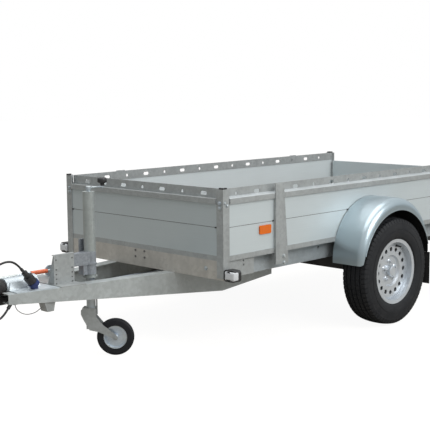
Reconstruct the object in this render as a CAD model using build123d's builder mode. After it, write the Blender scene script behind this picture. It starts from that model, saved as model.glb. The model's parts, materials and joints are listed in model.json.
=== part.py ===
from build123d import *
import math
import os

os.makedirs("parts", exist_ok=True)

# Single-axle utility trailer, parked on its jockey wheel.
# Millimetres. +X runs forward to the coupling, +Y to the trailer's left side, +Z up.
# The origin lies on the ground, under the middle of the trailer's box.

# ---------------------------------------------------------------- body box
body_length = 2578.0
body_width = 1315.0
coupling_reach = 1400.0  # coupling nose ahead of the front wall
rear_overhang = 24.0  # tailgate latches behind the rear posts
sheet = 3.0  # folded galvanised steel
beam_flange = 40.0
post_leg = 48.0
post_thick = 4.0
post_foot = 10.0  # posts end so far above the frame's bottom
wall_thick = 25.0
wall_inset = 4.0  # side walls lie so far inside the body's width
floor_thick = 18.0
frame_bottom = 420.0
frame_top = 520.0
sill_height = 27.0
sill_lip = 4.0
wall_top = 845.0
rail_top = 899.0
cap_height = 8.0
cap_width = 12.0
cap_leg = 30.0
groove_z = 697.0  # joint line between the wall planks
groove_height = 3.0
groove_depth = 4.0
bolt_hole = 5.0

front_x = (body_length + rear_overhang - coupling_reach) / 2
rear_x = front_x - body_length
body_mid_x = (front_x + rear_x) / 2
half_w = body_width / 2
wall_out = half_w - wall_inset
wall_in = wall_out - wall_thick
sill_top = frame_top + sill_height
floor_top = sill_top
floor_under = floor_top - floor_thick
frame_mid_z = (frame_bottom + frame_top) / 2
frame_depth = frame_top - frame_bottom

# ---------------------------------------------------------------- frame under the floor
side_web_inset = 26.0  # side beam's web inside the wall's inner face
cross_member_count = 5
cross_member_depth = 70.0
cross_member_width = 40.0
gusset_front = 50.0  # behind the front wall
gusset_length = 200.0
gusset_inset = 12.0
gusset_foot = 8.0
gusset_hole_radius = 5.0
gusset_hole_behind = 168.0
gusset_hole_heights = (484.0, 506.0)
web_hole_radius = 8.0
web_hole_first = 530.0  # first hole in the side beam, behind the front wall
web_hole_z = 490.0
front_bolt_y = 38.0
front_bolt_heights = (473.0, 509.0)

# ---------------------------------------------------------------- top rail
rail_ledge_out = 6.0  # ledge beyond the post's face
rail_lip_bottom = 820.0
rail_pitch = 325.0
rail_slot_length = 45.0
rail_slot_width = 20.0
rail_hole_radius = 9.0
rail_hole_z = 869.0
rail_first_hole = 130.5  # first round hole behind the front wall
rail_end_gap = 20.0  # no hole nearer to a post than this

# ---------------------------------------------------------------- posts between the ends
stanchion_depth = 12.0
stanchion_top_width = 67.0
stanchion_foot_width = 106.0
stanchion_front = 403.0  # front edge behind the front wall
stanchion_sheet = 4.0
stanchion_foot = 36.0  # foot above the frame's bottom

# ---------------------------------------------------------------- wheels and axle
wheel_behind = 1265.0  # wheel centre behind the front wall
wheel_radius = 322.0
tyre_width = 185.0
tyre_gap = 40.0  # tyre's inner side to the body's side
tyre_shell = 13.0
tyre_shoulder = 20.0
rim_flange_radius = 195.0
rim_width = 156.0
rim_sheet = 5.0
rim_flange_inset = 9.0  # tyre's bead lies so far inside the rim's edge
rim_seat_drop = 15.0  # bead seat inside the flange's edge
rim_barrel_radius = 165.0
rim_disc_recess = 36.0
rim_bowl_radius = 94.0
rim_bowl_depth = 12.0
rim_bowl_slope = 8.0
rim_vent_count = 16
rim_vent_circle = 131.0
rim_vent_radius = 13.0
hub_cap_radius = 31.0
hub_cap_reach = 26.0
hub_cap_round = 6.0
stub_radius = 20.0
running_gap = 0.3
drum_radius = 128.0
drum_depth = 50.0
drum_wall = 8.0
drum_boss_radius = 52.0
backplate_thick = 5.0
turn_gap = 6.0
arm_length = 172.0  # trailing swing arm, along X
axle_tube = 84.0
axle_tube_wall = 5.0
axle_end_inset = 20.0
swing_arm_thick = 24.0
swing_arm_root = 38.0
swing_arm_eye = 34.0
swing_arm_spindle = 30.0

wheel_x = front_x - wheel_behind
tyre_mid_y = half_w + tyre_gap + tyre_width / 2
rim_out_y = tyre_mid_y + rim_width / 2
rim_in_y = tyre_mid_y - rim_width / 2
disc_out_y = rim_out_y - rim_disc_recess
disc_in_y = disc_out_y - rim_sheet
bowl_out_y = disc_out_y - rim_bowl_depth
hub_face_y = bowl_out_y - rim_sheet
drum_in_y = hub_face_y - drum_depth
backplate_y = drum_in_y - turn_gap - backplate_thick
axle_x = wheel_x + arm_length
axle_z = frame_bottom - axle_tube / 2

# ---------------------------------------------------------------- fenders
fender_sheet = 2.5
fender_width = 218.5
fender_behind = 13.0  # fender's centre behind the wheel's
fender_radius = 354.0
fender_centre_z = 408.0
fender_bottom = 395.0
fender_lip_radius = 339.0
fender_lip_centre_z = 352.0
fender_edge_round = 48.0
fender_corner = 42.0
fender_corner_past = 3.0  # corner's circle reaches so far past the fender's edges
flap_bottom = 196.0
flap_thick = 5.0
flap_inset = 12.0
flap_tab_height = 40.0

fender_out_y = half_w + fender_width
fender_x = wheel_x - fender_behind

# ---------------------------------------------------------------- tailgate
hinge_back = 10.0  # hinge line behind the rear posts
hinge_drop = 6.0  # hinge line under the sill's top
hinge_radius = 8.0
hinge_pin_radius = 4.0
hinge_web = 0.8
hinge_spread = 420.0
ear_radius = 7.0
ear_thick = 6.0
ear_gap = 5.0
strap_width = 60.0
strap_top = 640.0
strap_sheet = 4.0
gate_gap_bottom = 5.0
gate_gap_top = 8.0
gate_gap_side = 5.0
latch_z = 780.0
latch_inset = 40.0
latch_plate = 6.0
latch_width = 50.0
latch_height = 70.0

# ---------------------------------------------------------------- lamps and reflectors
reflector_behind = 328.0
reflector_z = 658.0
reflector_length = 92.0
reflector_height = 48.0
reflector_thick = 8.0
lamp_width = 78.0
lamp_height = 62.0
lamp_length = 50.0
lamp_front = -3.0  # ahead of the front wall
lamp_z = 450.0
lamp_round = 16.0
lens_radius = 24.0
lens_proud = 8.0
light_bar_behind = 62.0  # ahead of the rear posts
light_bar_bottom = 306.0
light_bar_inset = 30.0
tail_lamp_length = 190.0
tail_lamp_height = 100.0
tail_lamp_depth = 50.0
tail_lamp_inset = 40.0
tail_lamp_round = 18.0
tail_lens_proud = 6.0
tail_lamp_z = 362.0
plate_length = 340.0
plate_height = 110.0
plate_thick = 8.0
plate_offset = -40.0

# ---------------------------------------------------------------- drawbar
arm_spread = 278.0  # half spread of the arms' webs at the front wall
arm_nose_half = 119.0  # the same at the arms' front ends
arm_front_back = 438.0  # arms' front ends behind the coupling nose
arm_rear = -685.0
arm_deepest = -330.0
arm_nose_depth = 50.0
arm_max_depth = 146.0
arm_tail_depth = 90.0
arm_flange = 70.0
arm_sheet = 4.0

arm_front = coupling_reach - arm_front_back
arm_taper = (arm_spread - arm_nose_half) / arm_front
arm_top = frame_bottom

# ---------------------------------------------------------------- overrun gear and coupling
# Distances ending in _back are measured back from the coupling's nose.
ball_back = 42.0
ball_radius = 25.5
head_back = 310.0
housing_front_back = 485.0
housing_length = 228.0
housing_plate = 5.0
housing_edge = 5.0  # plate stops so far inside the arms' outer faces
hump_width = 120.0
hump_length = 190.0
hump_height = 37.0
hump_taper = 24.0
housing_tube_radius = 44.0
shaft_z = 436.0
shaft_radius = 25.0
bellows_radius = 41.0
bellows_folds = 7
bellows_valley = 7.0
yoke_thick = 20.0
yoke_bottom = 346.0
yoke_width = 100.0
damper_radius = 23.0
damper_reach = 90.0
damper_z = 369.0
head_width = 76.0
head_round = 18.0
head_socket = 40.0
ball_drop = 6.0
handle_width = 28.0
handle_length = 170.0

# ---------------------------------------------------------------- hand brake
brake_y = -116.0
brake_z = 456.0
brake_bar_radius = 8.0
brake_pivot_back = 860.0
brake_pivot_radius = 30.0
brake_pivot_thick = 8.0
brake_bar_length = 330.0
brake_grip_radius = 14.0
brake_grip_length = 120.0
brake_rod_radius = 5.0
brake_rod_y = -20.0
brake_rod_z = 372.0
brake_rod_back = 880.0

# ---------------------------------------------------------------- jockey wheel and its console
console_front_back = 730.0
console_length = 130.0
console_y = 100.0
console_top = 578.0
console_foot = 6.0
console_edge = 14.0
console_rib = 50.0
console_hole_radius = 3.5
console_hole_inset = 14.0
console_hole_heights = (430.0, 453.0, 477.0, 502.0, 552.0)
jockey_back = 989.0
jockey_y = 70.0
jockey_tube_radius = 32.0
jockey_tube_bottom = 434.0
jockey_tube_top = 878.0
jockey_cap = 6.0
jockey_ring_radius = 38.0
jockey_ring_height = 8.0
jockey_leg_radius = 24.0
jockey_leg_wall = 3.0
jockey_leg_bottom = 178.0
jockey_leg_top = 738.0
jockey_slide_gap = 0.5
clamp_bottom = 446.0
clamp_flange_z = 500.0
clamp_top = 566.0
clamp_flange = 8.0
clamp_wall = 9.0
clamp_behind = 9.0  # clamp's shell ends so far behind the tube's axis
clamp_lever_height = 64.0
clamp_lever_width = 48.0
clamp_lever_thick = 8.0
crank_z = 905.0
crank_length = 95.0
crank_heading = 188.0  # degrees from +X
crank_width = 12.0
crank_thick = 8.0
spindle_radius = 11.0
knob_radius = 20.0
knob_height = 46.0
jockey_wheel_radius = 100.0
jockey_tyre_width = 38.0
jockey_tyre_round = 13.0
jockey_rim_radius = 62.0
jockey_rim_wall = 6.0
jockey_rim_width = 36.0
jockey_disc_thick = 6.0
jockey_hub_radius = 16.0
jockey_hub_width = 46.0
jockey_pin_radius = 6.0
jockey_trail = 128.0
jockey_heading = 134.4  # direction of the trail, degrees from +X
fork_gap = 6.0
fork_sheet = 5.0
fork_top = 262.0
fork_back = 52.0
fork_corner = 12.0
fork_back_edge = 34.0  # upright back edge ends so far under the top
fork_slope_end = 62.0
fork_arm_back = 8.0  # arm's rear edge behind the leg's axis
fork_arm_under = 36.0
fork_nose_under = 46.0
fork_front = 26.0
fork_tip = 14.0  # arm's end ahead of the pin, and above it
fork_tip_under = 13.0
fork_tip_rear = 10.0
fork_tip_top = 6.0
fork_shoulder = 24.0  # arm's upper edge ahead of the nose
fork_shoulder_drop = 8.0
fork_neck = 12.0
fork_neck_rise = 36.0
fork_bridge = 30.0  # plate between the arms under the leg
lock_rod_tie = 30.0  # rod's bracket under the fork's top
fork_nose = 40.0
fork_collar = 5.0
lock_rod_radius = 4.0
lock_rod_reach = 39.0
lock_rod_bottom = 217.0
lock_rod_top = 310.0

# ---------------------------------------------------------------- electric plug and cables
plug_nose_back = 607.0
plug_radius = 25.0
plug_tilt = 49.0  # degrees up from level, facing forward
plug_body = 60.0
plug_neck = 32.0
plug_neck_radius = 15.0
plug_boot = 26.0
plug_boot_radius = 8.0
plug_y = 100.0
holder_depth = 22.0
holder_wall = 3.0
holder_foot = 26.0
cable_radius = 5.5
cable_lead = 44.0  # straight stretch out of the plug's boot
link_radius = 1.75
gland_radius = 9.0
gland_length = 26.0
gland_reach = 958.0  # gland's mouth ahead of the front wall
gland_y = 105.0
gland_z = 349.0
gland_heading = (32.0, 3.0, -37.0)
bracket_front_back = 633.0
bracket_length = 67.0
bracket_bottom = 303.0
bracket_inner_y = 90.0
bracket_width = 55.0
bracket_rear_slope = 10.0
bracket_front_slope = 17.0
bend_share = 0.45  # part of a cable's straight run that one bend may use


def ahead(distance):
    """X of a point that lies so far ahead of the front wall."""
    return front_x + distance


def back(distance):
    """X of a point that lies so far behind the coupling's nose."""
    return front_x + coupling_reach - distance


def arm_web_y(x):
    """Half distance between the drawbar arms' outer faces at this X."""
    return arm_spread - arm_taper * (x - front_x)


def arm_under_z(x):
    """Height of the drawbar arms' lower edge at this X, ahead of their deepest point."""
    slope = (arm_max_depth - arm_nose_depth) / (arm_front - arm_deepest)
    return arm_top - arm_nose_depth - slope * (ahead(arm_front) - x)


def finish(block, label):
    """Name a finished sub-part and write its file."""
    block.part.label = label
    export_step(block.part, f"parts/{label}.step")


def evenly(first, last, pitch):
    """Places from first to last, a pitch apart."""
    return [first + index * pitch for index in range(int((last - first) / pitch) + 1)]


def corner_radii(points):
    """Largest arc radius for each inner point of a cable's route."""
    radii = []
    for before, corner, after in zip(points, points[1:], points[2:]):
        run_in = Vector(*corner) - Vector(*before)
        run_out = Vector(*after) - Vector(*corner)
        half_turn = math.radians(run_in.get_angle(run_out)) / 2
        radii.append(bend_share * min(run_in.length, run_out.length) / math.tan(half_turn))
    return radii


# ---------------------------------------------------------------- frame under the floor
with BuildPart() as frame_end_beams:
    for x_out, inward in ((front_x - post_thick, -1), (rear_x + post_thick, 1)):
        flange_x = x_out + inward * (sheet + beam_flange) / 2
        with Locations((x_out + inward * sheet / 2, 0, frame_mid_z)):
            Box(sheet, 2 * wall_out, frame_depth)
        with Locations(
            (flange_x, 0, frame_bottom + sheet / 2),
            (flange_x, 0, frame_top - sheet / 2),
        ):
            Box(beam_flange + sheet, 2 * wall_out, sheet)
    with BuildSketch(Plane.YZ.offset(front_x - post_thick)):
        with Locations(*[(side * front_bolt_y, z) for side in (1, -1) for z in front_bolt_heights]):
            Circle(bolt_hole)
    extrude(amount=-sheet, mode=Mode.SUBTRACT)
finish(frame_end_beams, "frame_end_beams")

side_web_y = wall_in - side_web_inset
side_beam_length = body_length - 2 * (post_thick + beam_flange + sheet)
top_flange = wall_out - side_web_y + sheet
with BuildPart() as frame_side_beams:
    for side in (1, -1):
        with Locations((body_mid_x, side * (side_web_y - sheet / 2), frame_mid_z)):
            Box(side_beam_length, sheet, frame_depth)
        with Locations((body_mid_x, side * (wall_out - top_flange / 2), frame_top - sheet / 2)):
            Box(side_beam_length, top_flange, sheet)
        with Locations((body_mid_x, side * (side_web_y - beam_flange / 2), frame_bottom + sheet / 2)):
            Box(side_beam_length, beam_flange, sheet)
    with BuildSketch(Plane.XZ):
        web_holes = evenly(web_hole_first, body_length - rail_pitch, rail_pitch)
        with Locations(*[(ahead(-distance), web_hole_z) for distance in web_holes]):
            Circle(web_hole_radius)
    extrude(amount=half_w, both=True, mode=Mode.SUBTRACT)
finish(frame_side_beams, "frame_side_beams")

cross_member_length = 2 * (side_web_y - sheet)
cross_pitch = side_beam_length / (cross_member_count + 1)
with BuildPart() as frame_cross_members:
    with Locations((body_mid_x, 0, floor_under - cross_member_depth / 2)):
        with GridLocations(cross_pitch, 1, cross_member_count, 1):
            Box(cross_member_width, cross_member_length, cross_member_depth)
            Box(
                cross_member_width - 2 * sheet,
                cross_member_length,
                cross_member_depth - 2 * sheet,
                mode=Mode.SUBTRACT,
            )
finish(frame_cross_members, "frame_cross_members")

gusset_mid_x = ahead(-gusset_front - gusset_length / 2)
with BuildPart() as frame_gussets:
    for side in (1, -1):
        gusset_y = wall_out - gusset_inset + sheet / 2
        gusset_height = frame_depth - sheet - gusset_foot
        with Locations((gusset_mid_x, side * gusset_y, frame_bottom + gusset_foot + gusset_height / 2)):
            Box(gusset_length, sheet, gusset_height)
    with BuildSketch(Plane.XZ):
        with Locations(*[(ahead(-gusset_hole_behind), height) for height in gusset_hole_heights]):
            Circle(gusset_hole_radius)
    extrude(amount=half_w, both=True, mode=Mode.SUBTRACT)
finish(frame_gussets, "frame_gussets")

sill_mid_y = (wall_in + half_w) / 2
sill_mid_z = (frame_top + sill_top) / 2
with BuildPart() as sills:
    for side in (1, -1):
        with Locations((body_mid_x, side * sill_mid_y, sill_mid_z)):
            Box(body_length - 2 * post_thick, half_w - wall_in, sill_height)
            Box(
                body_length,
                half_w - wall_in - 2 * sill_lip,
                sill_height - 2 * sill_lip,
                mode=Mode.SUBTRACT,
            )
        for x_out, inward in ((front_x, -1), (rear_x, 1)):
            with Locations((x_out + inward * post_leg / 2, side * (half_w - post_thick / 2), sill_mid_z)):
                Box(post_leg, post_thick, sill_height, mode=Mode.SUBTRACT)
    for x_out, inward in ((front_x, -1), (rear_x, 1)):
        with Locations((x_out + inward * (post_thick + wall_thick / 2), 0, sill_mid_z)):
            Box(wall_thick, 2 * (wall_in - running_gap), sill_height)
finish(sills, "sills")

with BuildPart() as floor_panel:
    with Locations((body_mid_x, 0, floor_top - floor_thick / 2)):
        Box(body_length - 2 * (post_thick + wall_thick), 2 * wall_in, floor_thick)
finish(floor_panel, "floor_panel")

# ---------------------------------------------------------------- walls
wall_height = wall_top - sill_top
wall_mid_z = (sill_top + wall_top) / 2
side_wall_length = body_length - 2 * post_thick
for label, side in (("side_wall_left", 1), ("side_wall_right", -1)):
    with BuildPart() as side_wall:
        with Locations((body_mid_x, side * (wall_in + wall_out) / 2, wall_mid_z)):
            Box(side_wall_length, wall_thick, wall_height)
        for face_y in (wall_in, wall_out):
            with Locations((body_mid_x, side * face_y, groove_z)):
                Box(side_wall_length, 2 * groove_depth, groove_height, mode=Mode.SUBTRACT)
    finish(side_wall, label)

front_wall_x = front_x - post_thick
with BuildPart() as front_wall:
    with Locations((front_wall_x - wall_thick / 2, 0, wall_mid_z)):
        Box(wall_thick, 2 * wall_in, wall_height)
    for face_x in (front_wall_x, front_wall_x - wall_thick):
        with Locations((face_x, 0, groove_z)):
            Box(2 * groove_depth, 2 * wall_in, groove_height, mode=Mode.SUBTRACT)
finish(front_wall, "front_wall")

# ---------------------------------------------------------------- top rails
side_rail_length = body_length - 2 * post_leg
front_rail_length = 2 * (half_w - post_leg)
rail_in_x = front_x - (half_w - wall_in)
rail_out_x = front_x + rail_ledge_out
side_hole_last = body_length - post_leg - rail_end_gap - rail_slot_length / 2
side_holes = evenly(rail_first_hole, side_hole_last, rail_pitch)
side_slots = evenly(rail_first_hole + rail_pitch / 2, side_hole_last, rail_pitch)
front_hole_last = front_rail_length / 2 - rail_end_gap - rail_slot_length / 2
front_holes = evenly(0, front_hole_last, rail_pitch)
front_slots = evenly(rail_pitch / 2, front_hole_last, rail_pitch)
rail_run_rear = rear_x + post_thick + running_gap
rail_run_front = rail_in_x - sheet - running_gap
with BuildPart() as top_rails:
    for side in (1, -1):
        rail_in = side * (wall_in - sheet)
        rail_out = side * (half_w + rail_ledge_out)
        with BuildSketch(Plane.YZ.offset(rail_run_rear)):
            with BuildLine():
                Polyline(
                    (rail_in, wall_top),
                    (side * (wall_out - running_gap), wall_top),
                    (side * (wall_out - running_gap), wall_top + sheet),
                    (side * wall_in, wall_top + sheet),
                    (side * wall_in, rail_top),
                    (rail_in, rail_top),
                    close=True,
                )
            make_face()
        extrude(amount=rail_run_front - rail_run_rear)
        with BuildSketch(Plane.YZ.offset(rear_x + post_leg)):
            with BuildLine():
                Polyline(
                    (rail_in, wall_top),
                    (rail_out - side * sheet, wall_top),
                    (rail_out - side * sheet, rail_lip_bottom),
                    (rail_out, rail_lip_bottom),
                    (rail_out, wall_top + sheet),
                    (side * wall_in, wall_top + sheet),
                    (side * wall_in, rail_top),
                    (rail_in, rail_top),
                    close=True,
                )
            make_face()
        extrude(amount=side_rail_length)
    with BuildSketch(Plane.XZ):
        with Locations(*[(ahead(-distance), rail_hole_z) for distance in side_holes]):
            Circle(rail_hole_radius)
        with Locations(*[(ahead(-distance), rail_hole_z) for distance in side_slots]):
            SlotOverall(rail_slot_length, rail_slot_width)
    extrude(amount=half_w, both=True, mode=Mode.SUBTRACT)
    with BuildSketch(Plane.XZ.offset(-front_rail_length / 2)):
        with BuildLine():
            Polyline(
                (rail_in_x - sheet, wall_top),
                (rail_out_x - sheet, wall_top),
                (rail_out_x - sheet, rail_lip_bottom),
                (rail_out_x, rail_lip_bottom),
                (rail_out_x, wall_top + sheet),
                (rail_in_x, wall_top + sheet),
                (rail_in_x, rail_top),
                (rail_in_x - sheet, rail_top),
                close=True,
            )
        make_face()
    extrude(amount=front_rail_length)
    with Locations((rail_in_x - sheet / 2, 0, (wall_top + rail_top) / 2)):
        Box(sheet, 2 * (wall_in - sheet - running_gap), rail_top - wall_top)
    with BuildSketch(Plane.YZ.offset(rail_in_x)):
        with Locations(*[(side * y, rail_hole_z) for y in front_holes for side in (1, -1) if y or side > 0]):
            Circle(rail_hole_radius)
        with Locations(*[(side * y, rail_hole_z) for y in front_slots for side in (1, -1)]):
            SlotOverall(rail_slot_length, rail_slot_width)
    extrude(amount=-sheet, mode=Mode.SUBTRACT)
finish(top_rails, "top_rails")

# ---------------------------------------------------------------- corner posts
post_height = rail_top - frame_bottom - post_foot
post_mid_z = rail_top - post_height / 2
with BuildPart() as corner_posts:
    for x_out, inward in ((front_x, -1), (rear_x, 1)):
        for side in (1, -1):
            with Locations((x_out + inward * post_leg / 2, side * (half_w - post_thick / 2), post_mid_z)):
                Box(post_leg, post_thick, post_height)
            with Locations((x_out + inward * post_thick / 2, side * (half_w - post_leg / 2), post_mid_z)):
                Box(post_thick, post_leg, post_height)
finish(corner_posts, "corner_posts")

cap_mid_z = rail_top + cap_height / 2
with BuildPart() as post_caps:
    for x_out, inward in ((front_x, -1), (rear_x, 1)):
        for side in (1, -1):
            with Locations((x_out + inward * cap_leg / 2, side * (half_w - cap_width / 2), cap_mid_z)):
                Box(cap_leg, cap_width, cap_height)
            with Locations((x_out + inward * cap_width / 2, side * (half_w - cap_leg / 2), cap_mid_z)):
                Box(cap_width, cap_leg, cap_height)
    fillet(post_caps.edges().group_by(Axis.Z)[-1], cap_height / 4)
finish(post_caps, "post_caps")

# ---------------------------------------------------------------- stanchions
stanchion_out = half_w + stanchion_depth
stanchion_bottom = frame_bottom + stanchion_foot
rail_out = half_w + rail_ledge_out
with BuildPart() as stanchions:
    for side in (1, -1):
        for direction in (1, -1):
            edge_x = body_mid_x + direction * (body_length / 2 - stanchion_front)
            for inset, mode in ((0, Mode.ADD), (stanchion_sheet, Mode.SUBTRACT)):
                spill = inset * 2
                with BuildSketch(Plane.XZ.offset(-side * (stanchion_out - inset))):
                    with BuildLine():
                        Polyline(
                            (edge_x - direction * inset, stanchion_bottom - spill),
                            (edge_x - direction * inset, rail_top - inset),
                            (edge_x - direction * (stanchion_top_width - inset), rail_top - inset),
                            (edge_x - direction * (stanchion_foot_width - inset), stanchion_bottom - spill),
                            close=True,
                        )
                    make_face()
                extrude(amount=side * (stanchion_out - wall_out - inset), mode=mode)
        with Locations((body_mid_x, side * (wall_out + rail_out) / 2, (rail_lip_bottom + rail_top) / 2)):
            Box(body_length, rail_out - wall_out, rail_top - rail_lip_bottom, mode=Mode.SUBTRACT)
        with Locations((body_mid_x, side * (wall_out + half_w) / 2, sill_mid_z)):
            Box(body_length, half_w - wall_out, sill_height, mode=Mode.SUBTRACT)
finish(stanchions, "stanchions")

# ---------------------------------------------------------------- fenders
fender_base = 400.0  # depth of the block that cuts the fenders level below
fender_thin = fender_radius - fender_sheet
fender_corner_y = fender_out_y + fender_corner_past - fender_corner
fender_corner_z = fender_bottom - fender_corner_past + fender_corner
corner_mid_y = fender_corner_y + fender_corner / 2
corner_mid_z = fender_corner_z - fender_corner / 2
for label, side in (("fender_left", 1), ("fender_right", -1)):
    outermost = -1 if side > 0 else 0
    with BuildPart() as fender_hollow:
        with BuildSketch(Plane.XZ.offset(-side * (half_w - fender_sheet))):
            with Locations((fender_x, fender_centre_z)):
                Circle(fender_thin)
            with Locations((fender_x, fender_bottom - fender_sheet - fender_base / 2)):
                Rectangle(2 * fender_radius, fender_base, mode=Mode.SUBTRACT)
        extrude(amount=-side * fender_width)
        hollow_arc = fender_hollow.edges().filter_by(GeomType.CIRCLE).sort_by(Axis.Y)[outermost]
        fillet(hollow_arc, fender_edge_round - fender_sheet)

    with BuildPart() as fender:
        with BuildSketch(Plane.XZ.offset(-side * half_w)):
            with Locations((fender_x, fender_centre_z)):
                Circle(fender_radius)
            with Locations((fender_x, fender_bottom - fender_base / 2)):
                Rectangle(2 * fender_radius, fender_base, mode=Mode.SUBTRACT)
        extrude(amount=-side * fender_width)
        outer_arc = fender.edges().filter_by(GeomType.CIRCLE).sort_by(Axis.Y)[outermost]
        fillet(outer_arc, fender_edge_round)
        add(fender_hollow.part, mode=Mode.SUBTRACT)
        with BuildSketch(Plane.XZ.offset(-side * half_w)):
            with Locations((fender_x, fender_lip_centre_z)):
                Circle(fender_lip_radius)
            with Locations((fender_x, fender_lip_centre_z - fender_base / 2)):
                Rectangle(2 * fender_lip_radius, fender_base)
        extrude(amount=-side * fender_width, mode=Mode.SUBTRACT)
        with BuildSketch(Plane.YZ.offset(fender_x)):
            with Locations((side * corner_mid_y, corner_mid_z)):
                Rectangle(fender_corner, fender_corner)
            with Locations((side * fender_corner_y, fender_corner_z)):
                Circle(fender_corner, mode=Mode.SUBTRACT)
        extrude(amount=fender_radius, both=True, mode=Mode.SUBTRACT)
    finish(fender, label)

flap_y_in = half_w + flap_inset
flap_y_out = fender_out_y - stanchion_sheet
flap_tab_out = fender_out_y - fender_corner
flap_tab_top = fender_bottom + flap_tab_height
flap_body_top = fender_bottom - running_gap
flap_behind = math.sqrt((fender_radius - fender_sheet) ** 2 - (flap_tab_top - fender_centre_z) ** 2)
flap_x = fender_x - flap_behind + flap_thick / 2 + running_gap
with BuildPart() as mudflaps:
    for side in (1, -1):
        with Locations((flap_x, side * (flap_y_in + flap_tab_out) / 2, (flap_bottom + flap_tab_top) / 2)):
            Box(flap_thick, flap_tab_out - flap_y_in, flap_tab_top - flap_bottom)
        with Locations((flap_x, side * (flap_y_in + flap_y_out) / 2, (flap_bottom + flap_body_top) / 2)):
            Box(flap_thick, flap_y_out - flap_y_in, flap_body_top - flap_bottom)
finish(mudflaps, "mudflaps")

# ---------------------------------------------------------------- axle
axle_half = half_w - axle_end_inset
axle_bore = axle_tube - 2 * axle_tube_wall
with BuildPart() as axle_beam:
    with Locations((axle_x, 0, axle_z)):
        Box(axle_tube, 2 * axle_half, axle_tube)
        Box(axle_bore, 2 * axle_half, axle_bore, mode=Mode.SUBTRACT)
finish(axle_beam, "axle_beam")

stub_tip_y = hub_face_y + rim_sheet - turn_gap
spindle_y = axle_half + swing_arm_thick
with BuildPart() as axle_arms:
    for side in (1, -1):
        with BuildSketch(Plane.XZ.offset(-side * axle_half)):
            with Locations((axle_x, axle_z)):
                Circle(swing_arm_root)
            with Locations((wheel_x, wheel_radius)):
                Circle(swing_arm_eye)
            with BuildLine():
                Polyline(
                    (axle_x, axle_z + swing_arm_root),
                    (axle_x, axle_z - swing_arm_root),
                    (wheel_x, wheel_radius - swing_arm_eye),
                    (wheel_x, wheel_radius + swing_arm_eye),
                    close=True,
                )
            make_face()
        extrude(amount=-side * swing_arm_thick)
        for start_y, end_y, radius in (
            (spindle_y, backplate_y, swing_arm_spindle),
            (backplate_y, backplate_y + backplate_thick, drum_radius),
            (backplate_y + backplate_thick, stub_tip_y, stub_radius),
        ):
            with BuildSketch(Plane.XZ.offset(-side * start_y)):
                with Locations((wheel_x, wheel_radius)):
                    Circle(radius)
            extrude(amount=-side * (end_y - start_y))
finish(axle_arms, "axle_arms")

# ---------------------------------------------------------------- wheels
wheel_axis = Axis((wheel_x, 0, wheel_radius), (0, 1, 0))
bead_radius = rim_flange_radius - rim_seat_drop + running_gap
bead_half = rim_width / 2 - rim_flange_inset - running_gap
flange_clear = rim_flange_radius + 1
tyre_half = tyre_width / 2
tread_half = tyre_half - tyre_shoulder
# Half of the tyre's section as (y from the middle, radius), outside first, then back inside.
tyre_outer_half = (
    (bead_half, bead_radius),
    (rim_width / 2 - 6.5, flange_clear),
    (rim_width / 2 + 2, flange_clear + 3),
    (tyre_half, 246),
    (tyre_half - 1.5, 276),
    (tyre_half - 8, 300),
    (tread_half, wheel_radius - 5),
    (0, wheel_radius),
)
tyre_inner_half = (
    (0, wheel_radius - tyre_shell),
    (tread_half - 6, wheel_radius - 5 - tyre_shell),
    (tyre_half - tyre_shell, 276),
    (tyre_half - tyre_shell + 2, 240),
    (bead_half - 18, bead_radius),
)
tyre_outline = (
    [(y, r) for y, r in tyre_outer_half]
    + [(-y, r) for y, r in reversed(tyre_outer_half[:-1])]
    + [(-y, r) for y, r in reversed(tyre_inner_half[1:])]
    + [(y, r) for y, r in tyre_inner_half]
)
# The rim's barrel as (y, radius), outside first, then back along its inner face.
seat_radius = rim_flange_radius - rim_seat_drop
inner_seat = seat_radius - rim_sheet
inner_barrel = rim_barrel_radius - rim_sheet
rim_outline = (
    (rim_in_y, rim_flange_radius),
    (rim_in_y + 6, rim_flange_radius),
    (rim_in_y + 9, seat_radius),
    (rim_in_y + 34, seat_radius - 3),
    (rim_in_y + 48, rim_barrel_radius),
    (disc_out_y, rim_barrel_radius),
    (rim_out_y - 40, seat_radius - 3),
    (rim_out_y - 9, seat_radius),
    (rim_out_y - 6, rim_flange_radius),
    (rim_out_y, rim_flange_radius),
    (rim_out_y - 3, inner_seat),
    (rim_out_y - 36, inner_seat - 3),
    (disc_out_y + 4, inner_barrel),
    (rim_in_y + 46, inner_barrel),
    (rim_in_y + 32, inner_seat - 3),
    (rim_in_y + 3, inner_seat),
)
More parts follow.
